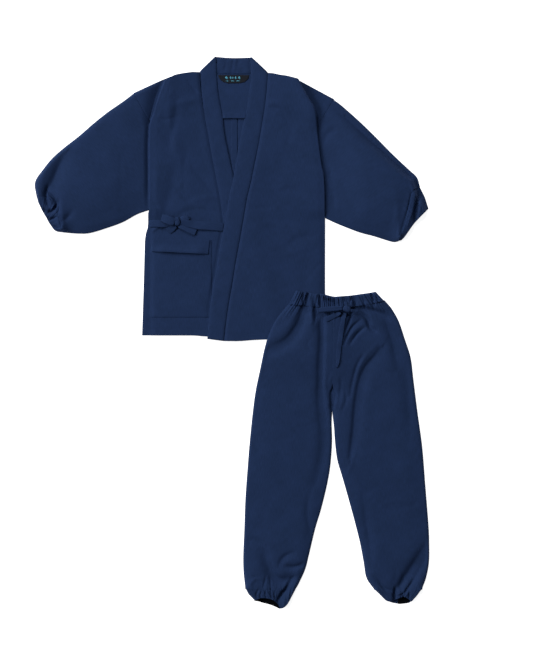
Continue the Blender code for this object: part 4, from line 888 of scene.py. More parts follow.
def neck_label(black, blue):
    """The half-moon label at the neck, with two rows of plain woven blocks."""
    corners = np.array(LABEL)
    grid = patch(corners[[0, 7, 6]], corners[[1, 2, 3]], corners[:2], corners[[6, 5, 4, 3]],
                 shares(34, 0.088), shares(12, 0.022))
    height = 2 * LAYER + 0.0006
    parts = [wall(stand(grid, height + 0.0010), stand(grid, height - 0.0002))]
    add_piece("label_ground", parts, JACKET_AT, black, ("neck_label",))
    blocks = []
    for x, wide, y, tall in LABEL_BLOCKS:
        spots = four_sided(box(x, x + wide, y, y + tall), (0, 0.5, 1), (0, 0.5, 1))
        blocks.append(wall(stand(spots, height + 0.0012), stand(spots, height + 0.0004)))
    return add_piece("label_woven_row", blocks, JACKET_AT, blue)


def collar_climb(y):
    """How far the wearer's left front has climbed over the right one at this height of the collar."""
    return (PILE_UNDER_LAP - 2) * LAYER * ease((0.61 - y) / 0.11)


def lap(grid):
    """How far the wearer's left front stands over its own level: most beside the overlap, less above it."""
    x, y = grid[..., 0], grid[..., 1]
    hidden = -0.001 + 0.171 * (0.465 - y) + 0.026
    seam = np.interp(y, (0.0, 0.285, 0.564, 0.690), (-0.029, 0.016, 0.071, 0.091)) + 0.006
    return collar_climb(y) * ease((np.maximum(hidden, seam) + 0.075 - x) / 0.075)


def on_floor(grid):
    """The floor's own height, nothing, at each point of a grid."""
    return np.zeros(grid.shape[:-1])


def groove(fold, side):
    """The line that the body's edge follows over the arm: down the shoulder's fold and on down the side."""
    return np.vstack([smooth_line(fold), smooth_line(side)[1:]])


def arm_rise(points, line):
    """How far the arm's cloth has come up at a distance from the groove.

    The wearer's right arm is steepest there, as two quarters of a sine. The left one starts level, as two
    easings, so that the body's edge shades it.
    """
    gap = near(line[::4], points)
    if line[0, 0] > 0:
        return 0.10 * ease(gap / 0.040) + 0.90 * ease(gap / 0.120)
    above = ease((points[..., 1] - 0.60) / 0.06)
    steep = 0.40 + 0.25 * above
    return steep * sine(gap / (0.014 + 0.020 * above)) + (1 - steep) * sine(gap / 0.110)


def drawn_in(side, grid):
    """A front's grid with its outer edge drawn in by what the roll over the arm takes up."""
    y = grid[..., 1]
    taken = 0.0075 + 0.0060 * ease((y - 0.61) / 0.04) if side == RIGHT else 0.0030
    inset = taken * ease((y - VENT_TOP) / 0.04) * (1 - ease(from_column(grid, 0) / 0.05))
    return grid - np.stack([side * inset, 0 * inset], axis=2)


def front_underside(side, grid, lift, table, phase):
    """Height of a front panel's underside.

    Above the vent it bulges over the arm, and falls off inwards as e to the minus 1.6th power of the
    distance. On the wearer's left a rim stands up beside its edge. A hollow that comes near the depth of
    what is under it evens out, and stitched edges are pressed in.
    """
    away, inward = from_column(grid, 0), from_column(grid, -1)
    y = grid[..., 1]
    left = side == LEFT
    full = 0.0070 + 0.0060 * ease((y - 0.55) / 0.13) + 0.0045 * left * ease((y - 0.62) / 0.05)
    bulge = full * ease((y - VENT_TOP) / 0.04) * np.exp(-((away / 0.095) ** 1.6))
    bulge = bulge + 0.0050 * ease((y - 0.59) / 0.05) * ease((0.765 - y) / 0.03) * bell(away, 0.022) * left
    on_layers = 2 * LAYER - LAYER * ease((VENT_TOP - y) / 0.035) * (1 - ease(away / 0.014))
    smooth = unevenness(grid, 0.0006, 0.055, phase) + unevenness(grid, 0.0002, 0.014, phase + 2)
    loose = creases(grid, table) * ease(away / 0.010) * ease(inward / 0.02)
    loose = loose + smooth * ease(away / 0.03) * ease(inward / 0.02)
    deepest = 0.0022 + 0.8 * bulge
    loose = np.where(loose < 0, -deepest * (1 - np.exp(np.minimum(loose, 0) / deepest)), loose)
    dip = 0.0008 * bell(inward, 0.0030) + 0.0004 * bell(y - y[-1:] - 0.020, 0.0020)
    height = on_layers + lift(grid) + bulge + (0.0013 + loose) * ease(away / 0.02) * ease(inward / 0.01)
    return np.maximum(height - dip * ease(away / 0.01), LAYER + 0.0001 + CLOTH * (away > 0.02))


def rolled_edge(grid, underside):
    """The outer edge of a front, face and back: it goes down and under in part of a circle."""
    crest = underside[:, 0] + CLOTH
    radius = np.clip((crest - 2 * LAYER) / 2, 0.0007, 0.0065)
    out = grid[:, 0] - grid[:, 2]
    out /= np.linalg.norm(out, axis=1, keepdims=True)
    angle = np.linspace(-0.35 * math.pi, 0.5 * math.pi, 8, endpoint=False)
    rolls = []
    for reach in (radius, np.maximum(radius - CLOTH, 0.00015)):
        spots = grid[:, :1] + out[:, None] * (reach[:, None] * np.cos(angle))[..., None]
        rolls.append(stand(spots, (crest - radius)[:, None] + reach[:, None] * np.sin(angle)))
    return rolls


def dropped_shoulder(side, tongue, fold, outside):
    """What is past a front's fold: it rises from the groove to the height of the sleeve it is sewn to."""
    share = shares(56, 0.13)
    start, line = along(tongue, share), along(fold, share)
    tucked = 0.016 * ease(share / 0.25 + 0.1) * ease((1.02 - share) / 0.12)
    inside = line - (side * tucked)[:, None] * (1, 0)
    flap = start[:, None] + shares(30, 0.09)[None, :, None] * (inside - start)[:, None]
    height = ARM_HEIGHT[0] * arm_rise(flap, np.vstack([fold[::4], outside[-60:-1:8]]))
    from_top = near(np.array((tongue[0], fold[0])), flap)
    climbed = ease((from_top - 0.0045) / 0.050) if side == LEFT else quarter(from_top / 0.013)
    height = LAYER + 0.0001 + height * (0.10 + 0.90 * climbed) - 0.0006 * bell(near(tongue, flap), 0.0018)
    under_body = side * (line[:, None, 0] - flap[..., 0]) > -0.002
    height = np.where(under_body, LAYER + 0.00005, height)
    return wall(stand(flap, height + CLOTH), stand(flap, height), -side * 12.0)


def jacket_front(side, edges, tongue, lift, table, phase, cloth):
    """A front panel that bulges over the arm at its rolled edge, and its dropped shoulder under that."""
    fold, outside, seam, top, hem = edges
    grid = drawn_in(side, patch(outside, seam, top, hem, shares(98, 0.30), shares(250, 0.80)))
    underside = front_underside(side, grid, lift, table, phase)
    roll, roll_inside = rolled_edge(grid, underside)
    face = stand(grid, underside + CLOTH)
    parts = [wall(np.hstack([roll, face]), np.hstack([roll_inside, stand(grid, underside)]))]
    parts.append(dropped_shoulder(side, tongue, fold, outside))
    parts.append(thread(lane(face, (0, 1), "bottom", 0.0190)))
    parts.append(thread(lane(face, (0.66, 1), "left", 0.0045)))
    add_cloth(f"jacket_front_{SIDE_NAME[side]}", parts, JACKET_AT, cloth)
    return face


def neck_dip(grid, rim):
    """How deep the band is pressed in behind the neck: a groove by its left fold, and slanting wrinkles."""
    x, y = grid[..., 0], grid[..., 1]
    fold_x, fold_y = zip(*COLLAR_FREE_LEFT[2::-1])
    dip = 0.0022 * bell(x - np.interp(y, fold_y, fold_x) + 0.0006, 0.0026)
    for wrinkle, depth in NECK_WRINKLES:
        dip = dip + depth * bell(x - wrinkle - 0.20 * (y - 0.775), 0.0036) * ease(rim / 0.012)
    return dip


def shoulder_turns(grids):
    """Puts half a circle of rows where the band goes round at each shoulder, between two of its stretches."""
    turn = np.linspace(0.5 * math.pi, -0.5 * math.pi, 11)[1:-1, None]
    for place, out, angle in ((1, (-0.70, 0.71), turn), (3, (0.70, 0.71), turn[::-1])):
        first, last = grids[place - 1][-1], grids[place][0]
        middle, tall = (first + last) / 2, abs(first[:, 2] - last[:, 2]) / 2
        reach_out = np.maximum(tall, 0.0002)[:, None] * np.array(out)
        spots = middle[:, :2] + reach_out * np.cos(angle)[..., None]
        grids.insert(place, stand(spots, middle[:, 2] + tall * np.sin(angle)))
    return np.vstack(grids)


def collar(cloth):
    """The collar band in one strip: up one front, folded back round the neck and down the other front.

    It swells between its edges by half a millimetre, and goes round through half a circle at each shoulder.
    """
    half = np.array((0, 0.02, 0.045, 0.075, 0.13, 0.22, 0.36))
    reach = np.concatenate([half, [0.5], 1 - half[::-1]])
    rim = np.minimum(reach, 1 - reach) * 0.050
    swell = 0.0007 * quarter(rim / 0.020) - 0.0004 * bell(rim - 0.0030, 0.0012) - 0.0012 * bell(rim, 0.0022)
    up, round_neck = np.linspace(1, 0, 230), np.linspace(0, 1, 52)
    stretches = ((COLLAR_SEAM_RIGHT, COLLAR_FREE_RIGHT, up, SEAM, 0.0004, 0.020),
                 (NECK_SEAM, NECK_TOP, round_neck, -SEAM, 0.0010, 0.010),
                 (COLLAR_SEAM_LEFT, COLLAR_FREE_LEFT, up[::-1], SEAM, 0.0004, 0.020))
    faces, backs, shown = [], [], []
    for number, (seam, free, share, gap, wave, size) in enumerate(stretches):
        start, end = beside(along(smooth_line(seam), share), gap), along(smooth_line(free), share)
        grid = start[:, None] + reach[None, :, None] * (end - start)[:, None]
        loose = unevenness(grid, wave, size, 2.0 + number) * ease(rim / 0.008)
        if number == 1:
            faces.append(stand(grid, 0.0))
            backs.append(stand(grid, np.maximum(BAND + swell + loose - neck_dip(grid, rim), 0.0009)))
            shown.append(backs[-1])
        else:
            base = 2 * LAYER + (collar_climb(start[:, 1])[:, None] if number else 0.0)
            faces.append(stand(grid, base + BAND + swell + loose))
            backs.append(stand(grid, base))
            shown.append(faces[-1])
    face, back = shoulder_turns(faces), shoulder_turns(backs)
    weave = np.stack(np.broadcast_arrays(reach[None] * 0.052, lengths(face[:, 7])[:, None]), axis=-1)
    parts = [wall(face, back, weave=weave)]
    for grid, part in zip(shown, ((0.004, 0.985), (0.03, 0.97), (0.015, 0.996))):
        parts += [thread(lane(grid, part, side, 0.0030)) for side in ("left", "right")]
    return add_cloth("collar", parts, JACKET_AT, cloth)


def sleeve(side, lines, fold, table, cloth):
    """A sleeve folded along its top edge that rises out of the groove beside the body."""
    top_edge, foot, _, seam = lines
    low_height, high_height = ARM_HEIGHT
    steps = shares(136, 0.38)
    down = steps[:, None]

    def rise(grid):
        """The arm's height with its rounded edges, and its creases, which die away towards its edges."""
        tall = low_height + (high_height - low_height) * ease((down - 0.1) / 0.7)
        tall = tall + (SEAM_HEIGHT - tall) * ease((down - 0.80) / 0.20)
        edge, open_edge = near(top_edge[::3], grid), near(foot[::3], grid)
        by_cuff = ease((down - 0.82) / 0.18)
        if side == LEFT:
            climbed = ease((edge - 0.0045) / (0.050 - 0.026 * down - 0.006 * by_cuff))
        else:
            climbed = quarter(edge / 0.013)
        body = LAYER + (tall - LAYER) * climbed
        body = body * sine((open_edge + 0.002) / (0.120 - 0.106 * by_cuff)) ** 0.8 * arm_rise(grid, fold)
        wave = cuff_gathers(SLEEVE_ACROSS, CUFF_GATHERS[side])[None]
        wave = wave * ease((down - 0.90) / 0.10) * ease(edge / 0.012)
        loose = creases(grid, table) + unevenness(grid, 0.0007, 0.050, 5.0 + side) + wave
        loose = loose * ease(edge / 0.008) * ease(open_edge / 0.012) * ease((down - 0.03) / 0.06)
        return np.maximum(body + loose - 0.0012 * bell(near(seam[::3], grid), 0.0022), 0.0)

    outer, inner, _ = folded(lines, steps, np.linspace(0.009, 1, 12), SLEEVE_ACROSS, on_floor, rise,
                             ring=False)
    return add_cloth(f"sleeve_{SIDE_NAME[side]}", [wall(outer, inner, side * ARM_GRAIN)], JACKET_AT, cloth)


def cuff(side, seam, middles, hem, table, cloth):
    """The gathered casing at a sleeve's end: a flattened tube, thinner towards its hem."""
    joined = beside(along(seam, np.concatenate([[0], SLEEVE_ACROSS])), -side * 0.0008)
    top_edge = np.array((joined[0], middles[0], hem[0]))
    foot = np.array((joined[-1], middles[1], hem[-1]))
    fine = np.linspace(0.012, 0.988, 190)
    steps = shares(14, CUFF_DEPTH)
    down = steps[:, None]

    def ruffle(grid):
        """The casing's height with its rounded edges, its gathers and creases, and the dip of its seam."""
        edge = np.minimum(fine, 1 - fine) * 0.14
        climbed = ease((edge - 0.002) / 0.020) if side == LEFT else quarter(edge / 0.012)
        body = SEAM_HEIGHT * (1 - 0.30 * down) * climbed[None]
        wave = cuff_gathers(fine, CUFF_GATHERS[side])[None]
        body = body + (wave + creases(grid, table)) * ease(edge / 0.008)[None]
        dip = 0.0010 * bell(down * CUFF_DEPTH, 0.0022) + 0.0010 * ease((down - 0.92) / 0.08)
        return np.maximum(body - dip, 0.0)

    outer, inner, _ = folded((top_edge, foot, joined, smooth_line(hem)), steps, np.linspace(0.012, 0.988, 16),
                             fine, on_floor, ruffle)
    shell = wall(outer, inner, side * ARM_GRAIN, ring=True)
    return add_cloth(f"cuff_{SIDE_NAME[side]}", [shell], JACKET_AT, cloth)


def pocket(bed, cloth):
    """The patch pocket on the wearer's right front, stitched on along three edges."""
    left, right, low, _ = POCKET
    grid = four_sided(box(*POCKET), shares(62, 0.17), shares(76, 0.22))
    rim = np.minimum(np.minimum(grid[..., 0] - left, right - grid[..., 0]), grid[..., 1] - low)
    under = bed(grid) + 0.0001
    full = 0.0010 * ease(rim / 0.035) - 0.0002 * bell(rim - 0.0030, 0.0012) - 0.0008 * bell(rim, 0.0020)
    full = full + unevenness(grid, 0.0005, 0.05, 3.3) * ease(rim / 0.02)
    face = stand(grid, under + CLOTH + np.maximum(full, -0.0009))
    parts = [wall(face, stand(grid, under))]
    parts += [thread(lane(face, (0, 1), edge, 0.0030)) for edge in ("left", "right", "bottom")]
    add_cloth("pocket", parts, JACKET_AT, cloth)
    return face


def pocket_flap(bed, cloth):
    """The pocket's flap, whose free lower edge stands a little off the pocket and is doubled."""
    grid = four_sided(FLAP, shares(62, 0.17), shares(22, 0.04))
    rim = np.linalg.norm(grid - grid[-1:], axis=2)
    gone = np.linalg.norm(grid - grid[:1], axis=2) / np.linalg.norm(grid[-1:] - grid[:1], axis=2)
    by_side = np.minimum(from_column(grid, 0), from_column(grid, -1))
    under = bed(grid) + 0.0002 + 0.0054 * ease((gone - 0.30) / 0.7) * (0.10 + 0.90 * ease(by_side / 0.040))
    thick = CLOTH + 0.0005 * ease((0.011 - rim) / 0.002) + unevenness(grid, 0.0002, 0.03, 6.0)
    face = stand(grid, under + thick)
    parts = [wall(face, stand(grid, under)), thread(lane(face, (0, 1), "bottom", 0.0032)),
             thread(lane(face, (0, 1), "top", 0.0030))]
    return add_cloth("pocket_flap", parts, JACKET_AT, cloth)


def trousers_floor(grid):
    """Height of the trousers' underside: up on the jacket's corner, down on the floor elsewhere."""
    x, y = grid[..., 0], grid[..., 1]
    over = ease((0.090 - x) / 0.085) * ease((y - 0.062) / 0.110)
    return PILE_UNDER_TROUSERS * LAYER * over


def opening(side, edges, cloth):
    """A strip of painted shade on the back layer inside an ankle's casing, as dark as the shade there is."""
    front, back = smooth_line(edges[0]), smooth_line(edges[1])
    grid = patch((front[0], back[0]), (front[-1], back[-1]), front, back, shares(40, 0.07), shares(8, 0.015))
    shell = wall(stand(grid, CLOTH + 0.0005), stand(grid, CLOTH - 0.0004))
    return add_piece(f"painted_shade_inside_{SIDE_NAME[side]}", [shell], TROUSERS_AT, cloth)


def leg_rise(side, grid, lines, across, table):
    """How far a leg's front stands over its back.

    It is a low cushion with steep edges, fuller towards the waist and the ankle. Above the crotch, where both
    fronts are joined, it doesn't come down at the inner edge. The gathers of both casings fall off as bells.
    """
    outer_edge, inner_edge, top, seam = lines
    y = grid[..., 1]
    joined = ease((grid[:, -1, 1] - 0.055) / 0.100)[:, None]
    outside = near(outer_edge[::3], grid)
    inside = near(inner_edge[::3], grid) + joined * 0.09
    upper, lower = near(top, grid), near(seam[::3], grid)
    height = 0.0062 + 0.0024 * ease((y - 0.06) / 0.22) + 0.0050 * ease((-0.30 - y) / 0.18)
    height = height + 0.0016 * bell(upper, 0.030)
    off_foot = ease(lower / 0.12)
    body = height * (0.40 * quarter(outside / 0.008) + 0.60 * sine(outside / (0.014 + off_foot * 0.056)))
    slope = (0.014 + off_foot * 0.026) * (1 - 0.7 * bell(y - 0.025, 0.030))
    body = body * (0.35 * quarter(inside / 0.010) + 0.65 * sine(inside / slope))
    start = WAIST_START[side]
    wave = waist_gathers(start + (MIDDLE_FRONT - start) * across)[None] * bell(upper, 0.030)
    wave = wave + ankle_gathers(across, ANKLE_GATHERS[side])[None] * bell(lower, 0.014)
    loose = creases(grid, table) + unevenness(grid, 0.0009, 0.070, 8.0) + unevenness(grid, 0.0002, 0.016, 3.0)
    body = body + (wave + loose) * ease(outside / 0.014) * ease(inside / 0.012)
    seam_dip = 0.0001 * bell(grid[..., 0] - grid[:, -1:, 0], 0.0024) * joined
    body = body - seam_dip - 0.0004 * bell(upper, 0.0024)
    return kept_up(body) * ease(outside / 0.004) * ease(inside / 0.004)


def leg(side, outer_edge, inner_edges, seam, table, cloth):
    """A trouser leg: its back panel flat below, and its front panel puffed over it."""
    top = along(smooth_line(WAIST_SEAM), np.linspace(WAIST_START[side], MIDDLE_FRONT, 40)) + (0, 0.0018)
    outer_edge, inner_edge, inner_back, seam = map(smooth_line, (outer_edge, *inner_edges, seam))
    inner_edge = inner_edge + np.linspace(1, 0, len(inner_edge))[:, None] ** 8 * (top[-1] - inner_edge[0])
    outer_edge = outer_edge + np.linspace(1, 0, len(outer_edge))[:, None] * (top[0] - outer_edge[0])
    across = np.concatenate([[0, 0.004, 0.012, 0.022, 0.034], np.linspace(0.048, 0.952, 78),
                             [0.966, 0.978, 0.988, 0.996, 1]])
    grid = patch(outer_edge, inner_edge, top, seam, across, shares(262, 0.81))
    rise = leg_rise(side, grid, (outer_edge, inner_edge, top, seam), across, table)
    underside = trousers_floor(grid) + LAYER + rise + 0.0001
    face = stand(grid, underside + CLOTH)
    parts = [wall(face, stand(grid, underside), side * LEG_GRAIN)]
    add_cloth(f"trousers_front_{SIDE_NAME[side]}", parts, TROUSERS_AT, cloth)
    below = patch(outer_edge, np.vstack([top[-1:], inner_back[1:]]), top, seam, shares(20, 0.25),
                  shares(110, 0.81))
    floor = trousers_floor(below)
    parts = [wall(stand(below, floor + CLOTH), stand(below, floor), side * LEG_GRAIN)]
    add_cloth(f"trousers_back_{SIDE_NAME[side]}", parts, TROUSERS_AT, cloth)
    return face


def waistband(cloth):
    """The casing round the waist, drawn up into gathers by its elastic."""
    fine = np.linspace(0.007, 0.993, 330)
    steps = shares(18, CASING_DEPTH)
    down = steps[:, None]

    def ruffle(grid):
        """The casing's height with its rounded edges, its gathers and creases, and the dip of its seam."""
        edge = np.minimum(fine, 1 - fine) * 0.26
        body = (0.0092 + 0.0010 * down) * (0.4 + 0.6 * quarter(down / 0.22)) * quarter(edge / 0.014)[None]
        loose = waist_gathers(fine)[None] * (1.1 - 0.1 * down) + creases(grid, CREASES_WAIST)
        body = body + loose * ease(edge / 0.010)[None] * (0.5 + 0.5 * ease(down / 0.15))
        return kept_up(body - 0.0004 * bell((1 - down) * CASING_DEPTH, 0.0024), 0.0015)

    sides = np.array(WAIST_SIDE_RIGHT), np.array(WAIST_SIDE_LEFT)
    lines = (*sides, smooth_line(WAIST_TOP), smooth_line(WAIST_SEAM))
    outer, inner, face = folded(lines, steps, np.linspace(0.007, 0.993, 40), fine, trousers_floor, ruffle)
    parts = [wall(outer, inner, ring=True)]
    parts.append(thread(lane(face, (0.01, 0.99), "top", 0.0050)))
    parts.append(thread(lane(face, (0.01, 0.99), "bottom", 0.0040)))
    add_cloth("waistband", parts, TROUSERS_AT, cloth)
    return face


def ankle(side, sides, seam, hem, back, table, cloth):
    """The gathered casing round an ankle. Its back layer reaches past the front one, so the opening shows.

    The wearer's left hem arches up in its middle, as a bell.
    """
    under_seam = (0, 0.0008)
    sides = [np.array(edge) + under_seam for edge in sides]
    seam, hem, back = (smooth_line(edge) + under_seam for edge in (seam, hem, back))
    hem[:, 1] += ANKLE_ARCH[side] * bell(hem[:, 0] - 0.203, 0.016)
    fine = np.linspace(0.012, 0.988, 220)
    steps = shares(18, CASING_DEPTH)

    def ruffle(grid):
        """The casing's height with its rounded edges, and its gathers and creases."""
        edge = np.minimum(fine, 1 - fine) * 0.14
        body = (0.0110 - 0.0010 * steps[:, None]) * quarter(edge / 0.013)[None]
        wave = ankle_gathers(fine, ANKLE_GATHERS[side])[None]
        return kept_up(body + (wave + creases(grid, table)) * ease(edge / 0.008)[None], 0.0015)

    outer, inner, face = folded((*sides, seam, hem), steps, np.linspace(0.012, 0.988, 30), fine, on_floor,
                                ruffle, back=back)
    parts = [wall(outer, inner, ring=True), thread(lane(face, (0.02, 0.98), "bottom", 0.0040))]
    return add_cloth(f"ankle_band_{SIDE_NAME[side]}", parts, TROUSERS_AT, cloth)


def raised(table, heights):
    """A strap's table of x, y, width and tilt with its heights put in: one for all, or one for each row."""
    x, y, width, tilt = np.array(table, float).T
    return np.stack([x, y, np.broadcast_to(heights, x.shape), width, tilt], axis=1)


def laid(table, bed, clear=0.00105, count=48):
    """A strap's table with its heights counted from what it lies on.

    That is the highest of three points across, and of their neighbours, as a mean of seven along the strap.
    """
    line = along(smooth_line(table), np.linspace(0, 1, count))
    sideways = directions(line[:, :2])[1]
    across = line[:, None, :2] + np.array((-0.4, 0, 0.4))[None, :, None] * (line[:, 3:4] * sideways)[:, None]
    level = bed(across).max(axis=1)
    level = np.maximum.reduce([level, np.roll(level, 1), np.roll(level, -1)])
    level = level[np.clip(np.arange(count), 1, count - 2)]
    line[:, 2] += np.convolve(np.pad(level, 3, mode="edge"), np.ones(7) / 7, mode="valid") + clear
    return line


def bow_loop(table, floor, rise, lean, thick=0.0015):
    """A strap folded back on itself: out along its lower layer, round in half a circle and back on top.

    The upper layer leans to one side of the lower one, so that the loop's mouth shows.
    """
    count = 22
    line = along(smooth_line(table), np.linspace(0, 1, count))
    run, sideways = directions(line[:, :2])
    across = np.linspace(-0.5, 0.5, 11)
    grid = line[:, None, :2] + (across[None] * line[:, 2:3])[..., None] * sideways[:, None]
    shift = lean * ease(np.linspace(0.1, 1.2, count))[:, None, None] * sideways[:, None]
    swell = 0.50 + 0.50 * np.sin(math.pi * np.linspace(0.12, 0.92, count))
    arch = rise * swell[:, None] * (1 - 0.5 * across ** 2)
    arch = arch - 0.0004 * np.cos(4 * math.pi * across) * np.linspace(1, 0.2, count)[:, None]
    angle = np.linspace(-0.5 * math.pi, 0.5 * math.pi, 11)[1:-1, None]
    middle = floor + arch / 2
    shells = []
    for less in (0.0, thick):
        tall = np.maximum(arch / 2 - less, 0.0002)
        out = np.maximum(rise * 0.62 - less, 0.0003) * np.cos(angle)
        spots = grid[-1] + (0.5 + 0.5 * np.sin(angle))[..., None] * shift[-1] + out[..., None] * run[-1]
        lower, upper = stand(grid, middle - tall), stand(grid + shift, middle + tall)
        shells.append(np.vstack([lower, stand(spots, middle[-1] + tall[-1] * np.sin(angle)), upper[::-1]]))
    rows = np.arange(len(shells[0]))[:, None]
    weave = np.stack(np.broadcast_arrays(across[None] * 0.018, rows * 0.0015), axis=-1)
    return wall(*shells, weave=weave)


def bow(bed, cloth):
    """The tie's two straps, and the bow that joins them beside the collar."""
    for name, table in (("tie_front", TIE_FRONT), ("tie_side", TIE_SIDE)):
        climb = 0.0056 * np.linspace(0, 1, len(table)) ** 0.5 - 0.0006
        add_cloth(name, [strap(laid(raised(table, climb), bed), 0.0026, 64)], JACKET_AT, cloth)
    for name, table, start, end in BOW_TAILS:
        add_cloth(name, [strap(raised(table, np.linspace(start, end, len(table))))], JACKET_AT, cloth)
    for name, *form in BOW_LOOPS:
        add_cloth(name, [bow_loop(*form)], JACKET_AT, cloth)
    add_cloth("bow_knot", [wrapped_knot(*BOW_KNOT)], JACKET_AT, cloth)


def drawstring(bed, cloth):
    """The string out of the casing, tied in a half bow with one short and one long end."""
    on_seam = PILE_UNDER_TROUSERS * LAYER + 0.0165
    add_cloth("drawstring_loop", [bow_loop(STRING_LOOP, on_seam, 0.0052, -0.0020)], TROUSERS_AT, cloth)
    rows = raised(STRING_STRAP, on_seam + np.array((0.0048, 0.0016, 0.0008)))
    add_cloth("drawstring_strap", [strap(rows, steps=24)], TROUSERS_AT, cloth)
    for name, table, steps in (("drawstring_end", STRING_END, 40), ("drawstring_tail", STRING_TAIL, 90)):
        line = laid(raised(table, 0.0002), bed)
        add_cloth(name, [strap(line, steps=steps)], TROUSERS_AT, cloth)
    place, *form = STRING_KNOT
    knot = wrapped_knot(np.array(place) + (0, 0, on_seam), *form)
    add_cloth("drawstring_knot", [knot], TROUSERS_AT, cloth)
    return line[:, :3] + (*TROUSERS_AT, 0)


def linear(hexa):
    """An sRGB hex colour as linear red, green, blue and alpha."""
    parts = [int(hexa[place:place + 2], 16) / 255 for place in (1, 3, 5)]
    return [part / 12.92 if part <= 0.04045 else ((part + 0.055) / 1.055) ** 2.4 for part in parts] + [1.0]


def add(tree, kind, links=(), **settings):
    """One node with its settings. links are pairs of an input's name and the value or the socket for it."""
    made = tree.nodes.new(kind)
    for setting, value in settings.items():
        setattr(made, setting, value)
    for socket, value in links:
        if isinstance(value, bpy.types.NodeSocket):
            tree.links.new(value, made.inputs[socket])
        else:
            made.inputs[socket].default_value = value
    return made


def shader_of(name, roughness):
    """A new material with its node tree and its shader, dull and with little shine."""
    made = bpy.data.materials.new(name)
    made.use_nodes = True
    shader = made.node_tree.nodes["Principled BSDF"]
    shader.inputs["Roughness"].default_value = roughness
    shader.inputs["Specular IOR Level"].default_value = 0.08
    return made, made.node_tree, shader


def woven_cotton(name, dark, light):
    """Plain-woven yarn-dyed cotton: two crossed waves, with slubbed threads that change along their way.

    The real threads, half a millimetre apart, are finer than a pixel of the picture, so they are drawn 1.4 mm
    apart. The UV map is in metres. A wave texture of scale s repeats after 0.314 / s.
    """
    made, tree, shader = shader_of(name, 0.9)
    place = add(tree, "ShaderNodeUVMap", uv_map="threads").outputs["UV"]
    waves = []
    for way in ("X", "Y"):
        wave = add(tree, "ShaderNodeTexWave",
                   (("Vector", place), ("Scale", 0.314 / THREAD_PITCH), ("Distortion", 0.7), ("Detail", 1.0),
                    ("Detail Scale", 1.2)),
                   wave_type="BANDS", bands_direction=way, wave_profile="SIN")
        waves.append((len(waves), wave.outputs["Fac"]))
    woven = add(tree, "ShaderNodeMath", waves, operation="MULTIPLY")
    stretched = add(tree, "ShaderNodeMapping", (("Vector", place), ("Scale", (700.0, 60.0, 1.0))))
    slubs = add(tree, "ShaderNodeTexNoise",
                (("Vector", stretched.outputs[0]), ("Scale", 1.0), ("Detail", 3.0)))
    cloudy = add(tree, "ShaderNodeTexNoise", (("Vector", place), ("Scale", 22.0), ("Detail", 4.0)))
    mixed = add(tree, "ShaderNodeMath",
                ((0, woven.outputs[0]), (1, 0.30), (2, slubs.outputs["Fac"])), operation="MULTIPLY_ADD")
    mixed = add(tree, "ShaderNodeMath",
                ((0, cloudy.outputs["Fac"]), (1, 0.45), (2, mixed.outputs[0])), operation="MULTIPLY_ADD")
    share = add(tree, "ShaderNodeMapRange",
                (("Value", mixed.outputs[0]), ("From Min", 0.45), ("From Max", 1.15)))
    colour = add(tree, "ShaderNodeMix",
                 (("Factor", share.outputs[0]), ("A", linear(dark)), ("B", linear(light))), data_type="RGBA")
    tree.links.new(colour.outputs["Result"], shader.inputs["Base Color"])
    bump = add(tree, "ShaderNodeBump",
               (("Height", mixed.outputs[0]), ("Strength", 0.35), ("Distance", 0.0003)))
    tree.links.new(bump.outputs[0], shader.inputs["Normal"])
    return made


def plain(name, colour, roughness):
    """A material of one colour."""
    made, _, shader = shader_of(name, roughness)
    shader.inputs["Base Color"].default_value = linear(colour)
    return made


def backdrop():
    """A pale floor that burns out to white, just below the cloth."""
    paper = plain("white paper backdrop", "#F4F4F4", 0.9)
    shader = paper.node_tree.nodes["Principled BSDF"]
    shader.inputs["Emission Color"].default_value = (1.0, 1.0, 1.0, 1.0)
    shader.inputs["Emission Strength"].default_value = 0.85
    sheet = bpy.data.meshes.new("backdrop")
    sheet.from_pydata([(-6, -6, 0), (6, -6, 0), (6, 6, 0), (-6, 6, 0)], [], [(0, 1, 2, 3)])
    sheet.materials.append(paper)
    floor = bpy.data.objects.new("backdrop", sheet)
    bpy.context.scene.collection.objects.link(floor)
    floor.location.z = -0.0005


def studio():
    """The backdrop, two wide lamps to the left and above, a weak sky, and the camera straight overhead."""
    backdrop()
    x, y = PHOTO_CENTRE
    for name, power, away in LAMPS:
        light = bpy.data.lights.new(name, "AREA")
        light.energy, light.size = power, LAMP_SIZE
        lamp = bpy.data.objects.new(name, light)
        bpy.context.scene.collection.objects.link(lamp)
        lamp.location = (x + away[0], y + away[1], away[2])
        lamp.rotation_euler = (Vector((x, y, 0)) - lamp.location).to_track_quat("-Z", "Y").to_euler()
    world = bpy.data.worlds.new("studio")
    bpy.context.scene.world = world
    world.use_nodes = True
    sky = world.node_tree.nodes["Background"]
    sky.inputs["Color"].default_value = (0.93, 0.96, 1.0, 1.0)
    sky.inputs["Strength"].default_value = 0.13
    lens = bpy.data.cameras.new("overhead")
    lens.lens, lens.sensor_width, lens.sensor_height = LENS, SENSOR, SENSOR
    lens.sensor_fit = "VERTICAL"
    camera = bpy.data.objects.new("overhead", lens)
    camera.location = (x, y, PHOTO_HEIGHT * LENS / SENSOR)
    bpy.context.scene.collection.objects.link(camera)
    bpy.context.scene.camera = camera
    bpy.context.scene.view_settings.view_transform = "Standard"


cotton = woven_cotton("woven navy cotton", "#1B2B48", "#24365C")
band_cotton = woven_cotton("woven navy cotton of the band", "#1B2B48", "#24365C")
black_weave = plain("black woven ribbon", "#1C1F26", 0.7)
# Painted shade: a near-black for the strips inside the ankle casings, where the navy cloth lies in deep
# shade.
shade = plain("painted shade inside the elastic casings", "#05070C", 0.95)
blue_weave = plain("pale blue woven ribbon", "#4E8FA6", 0.7)

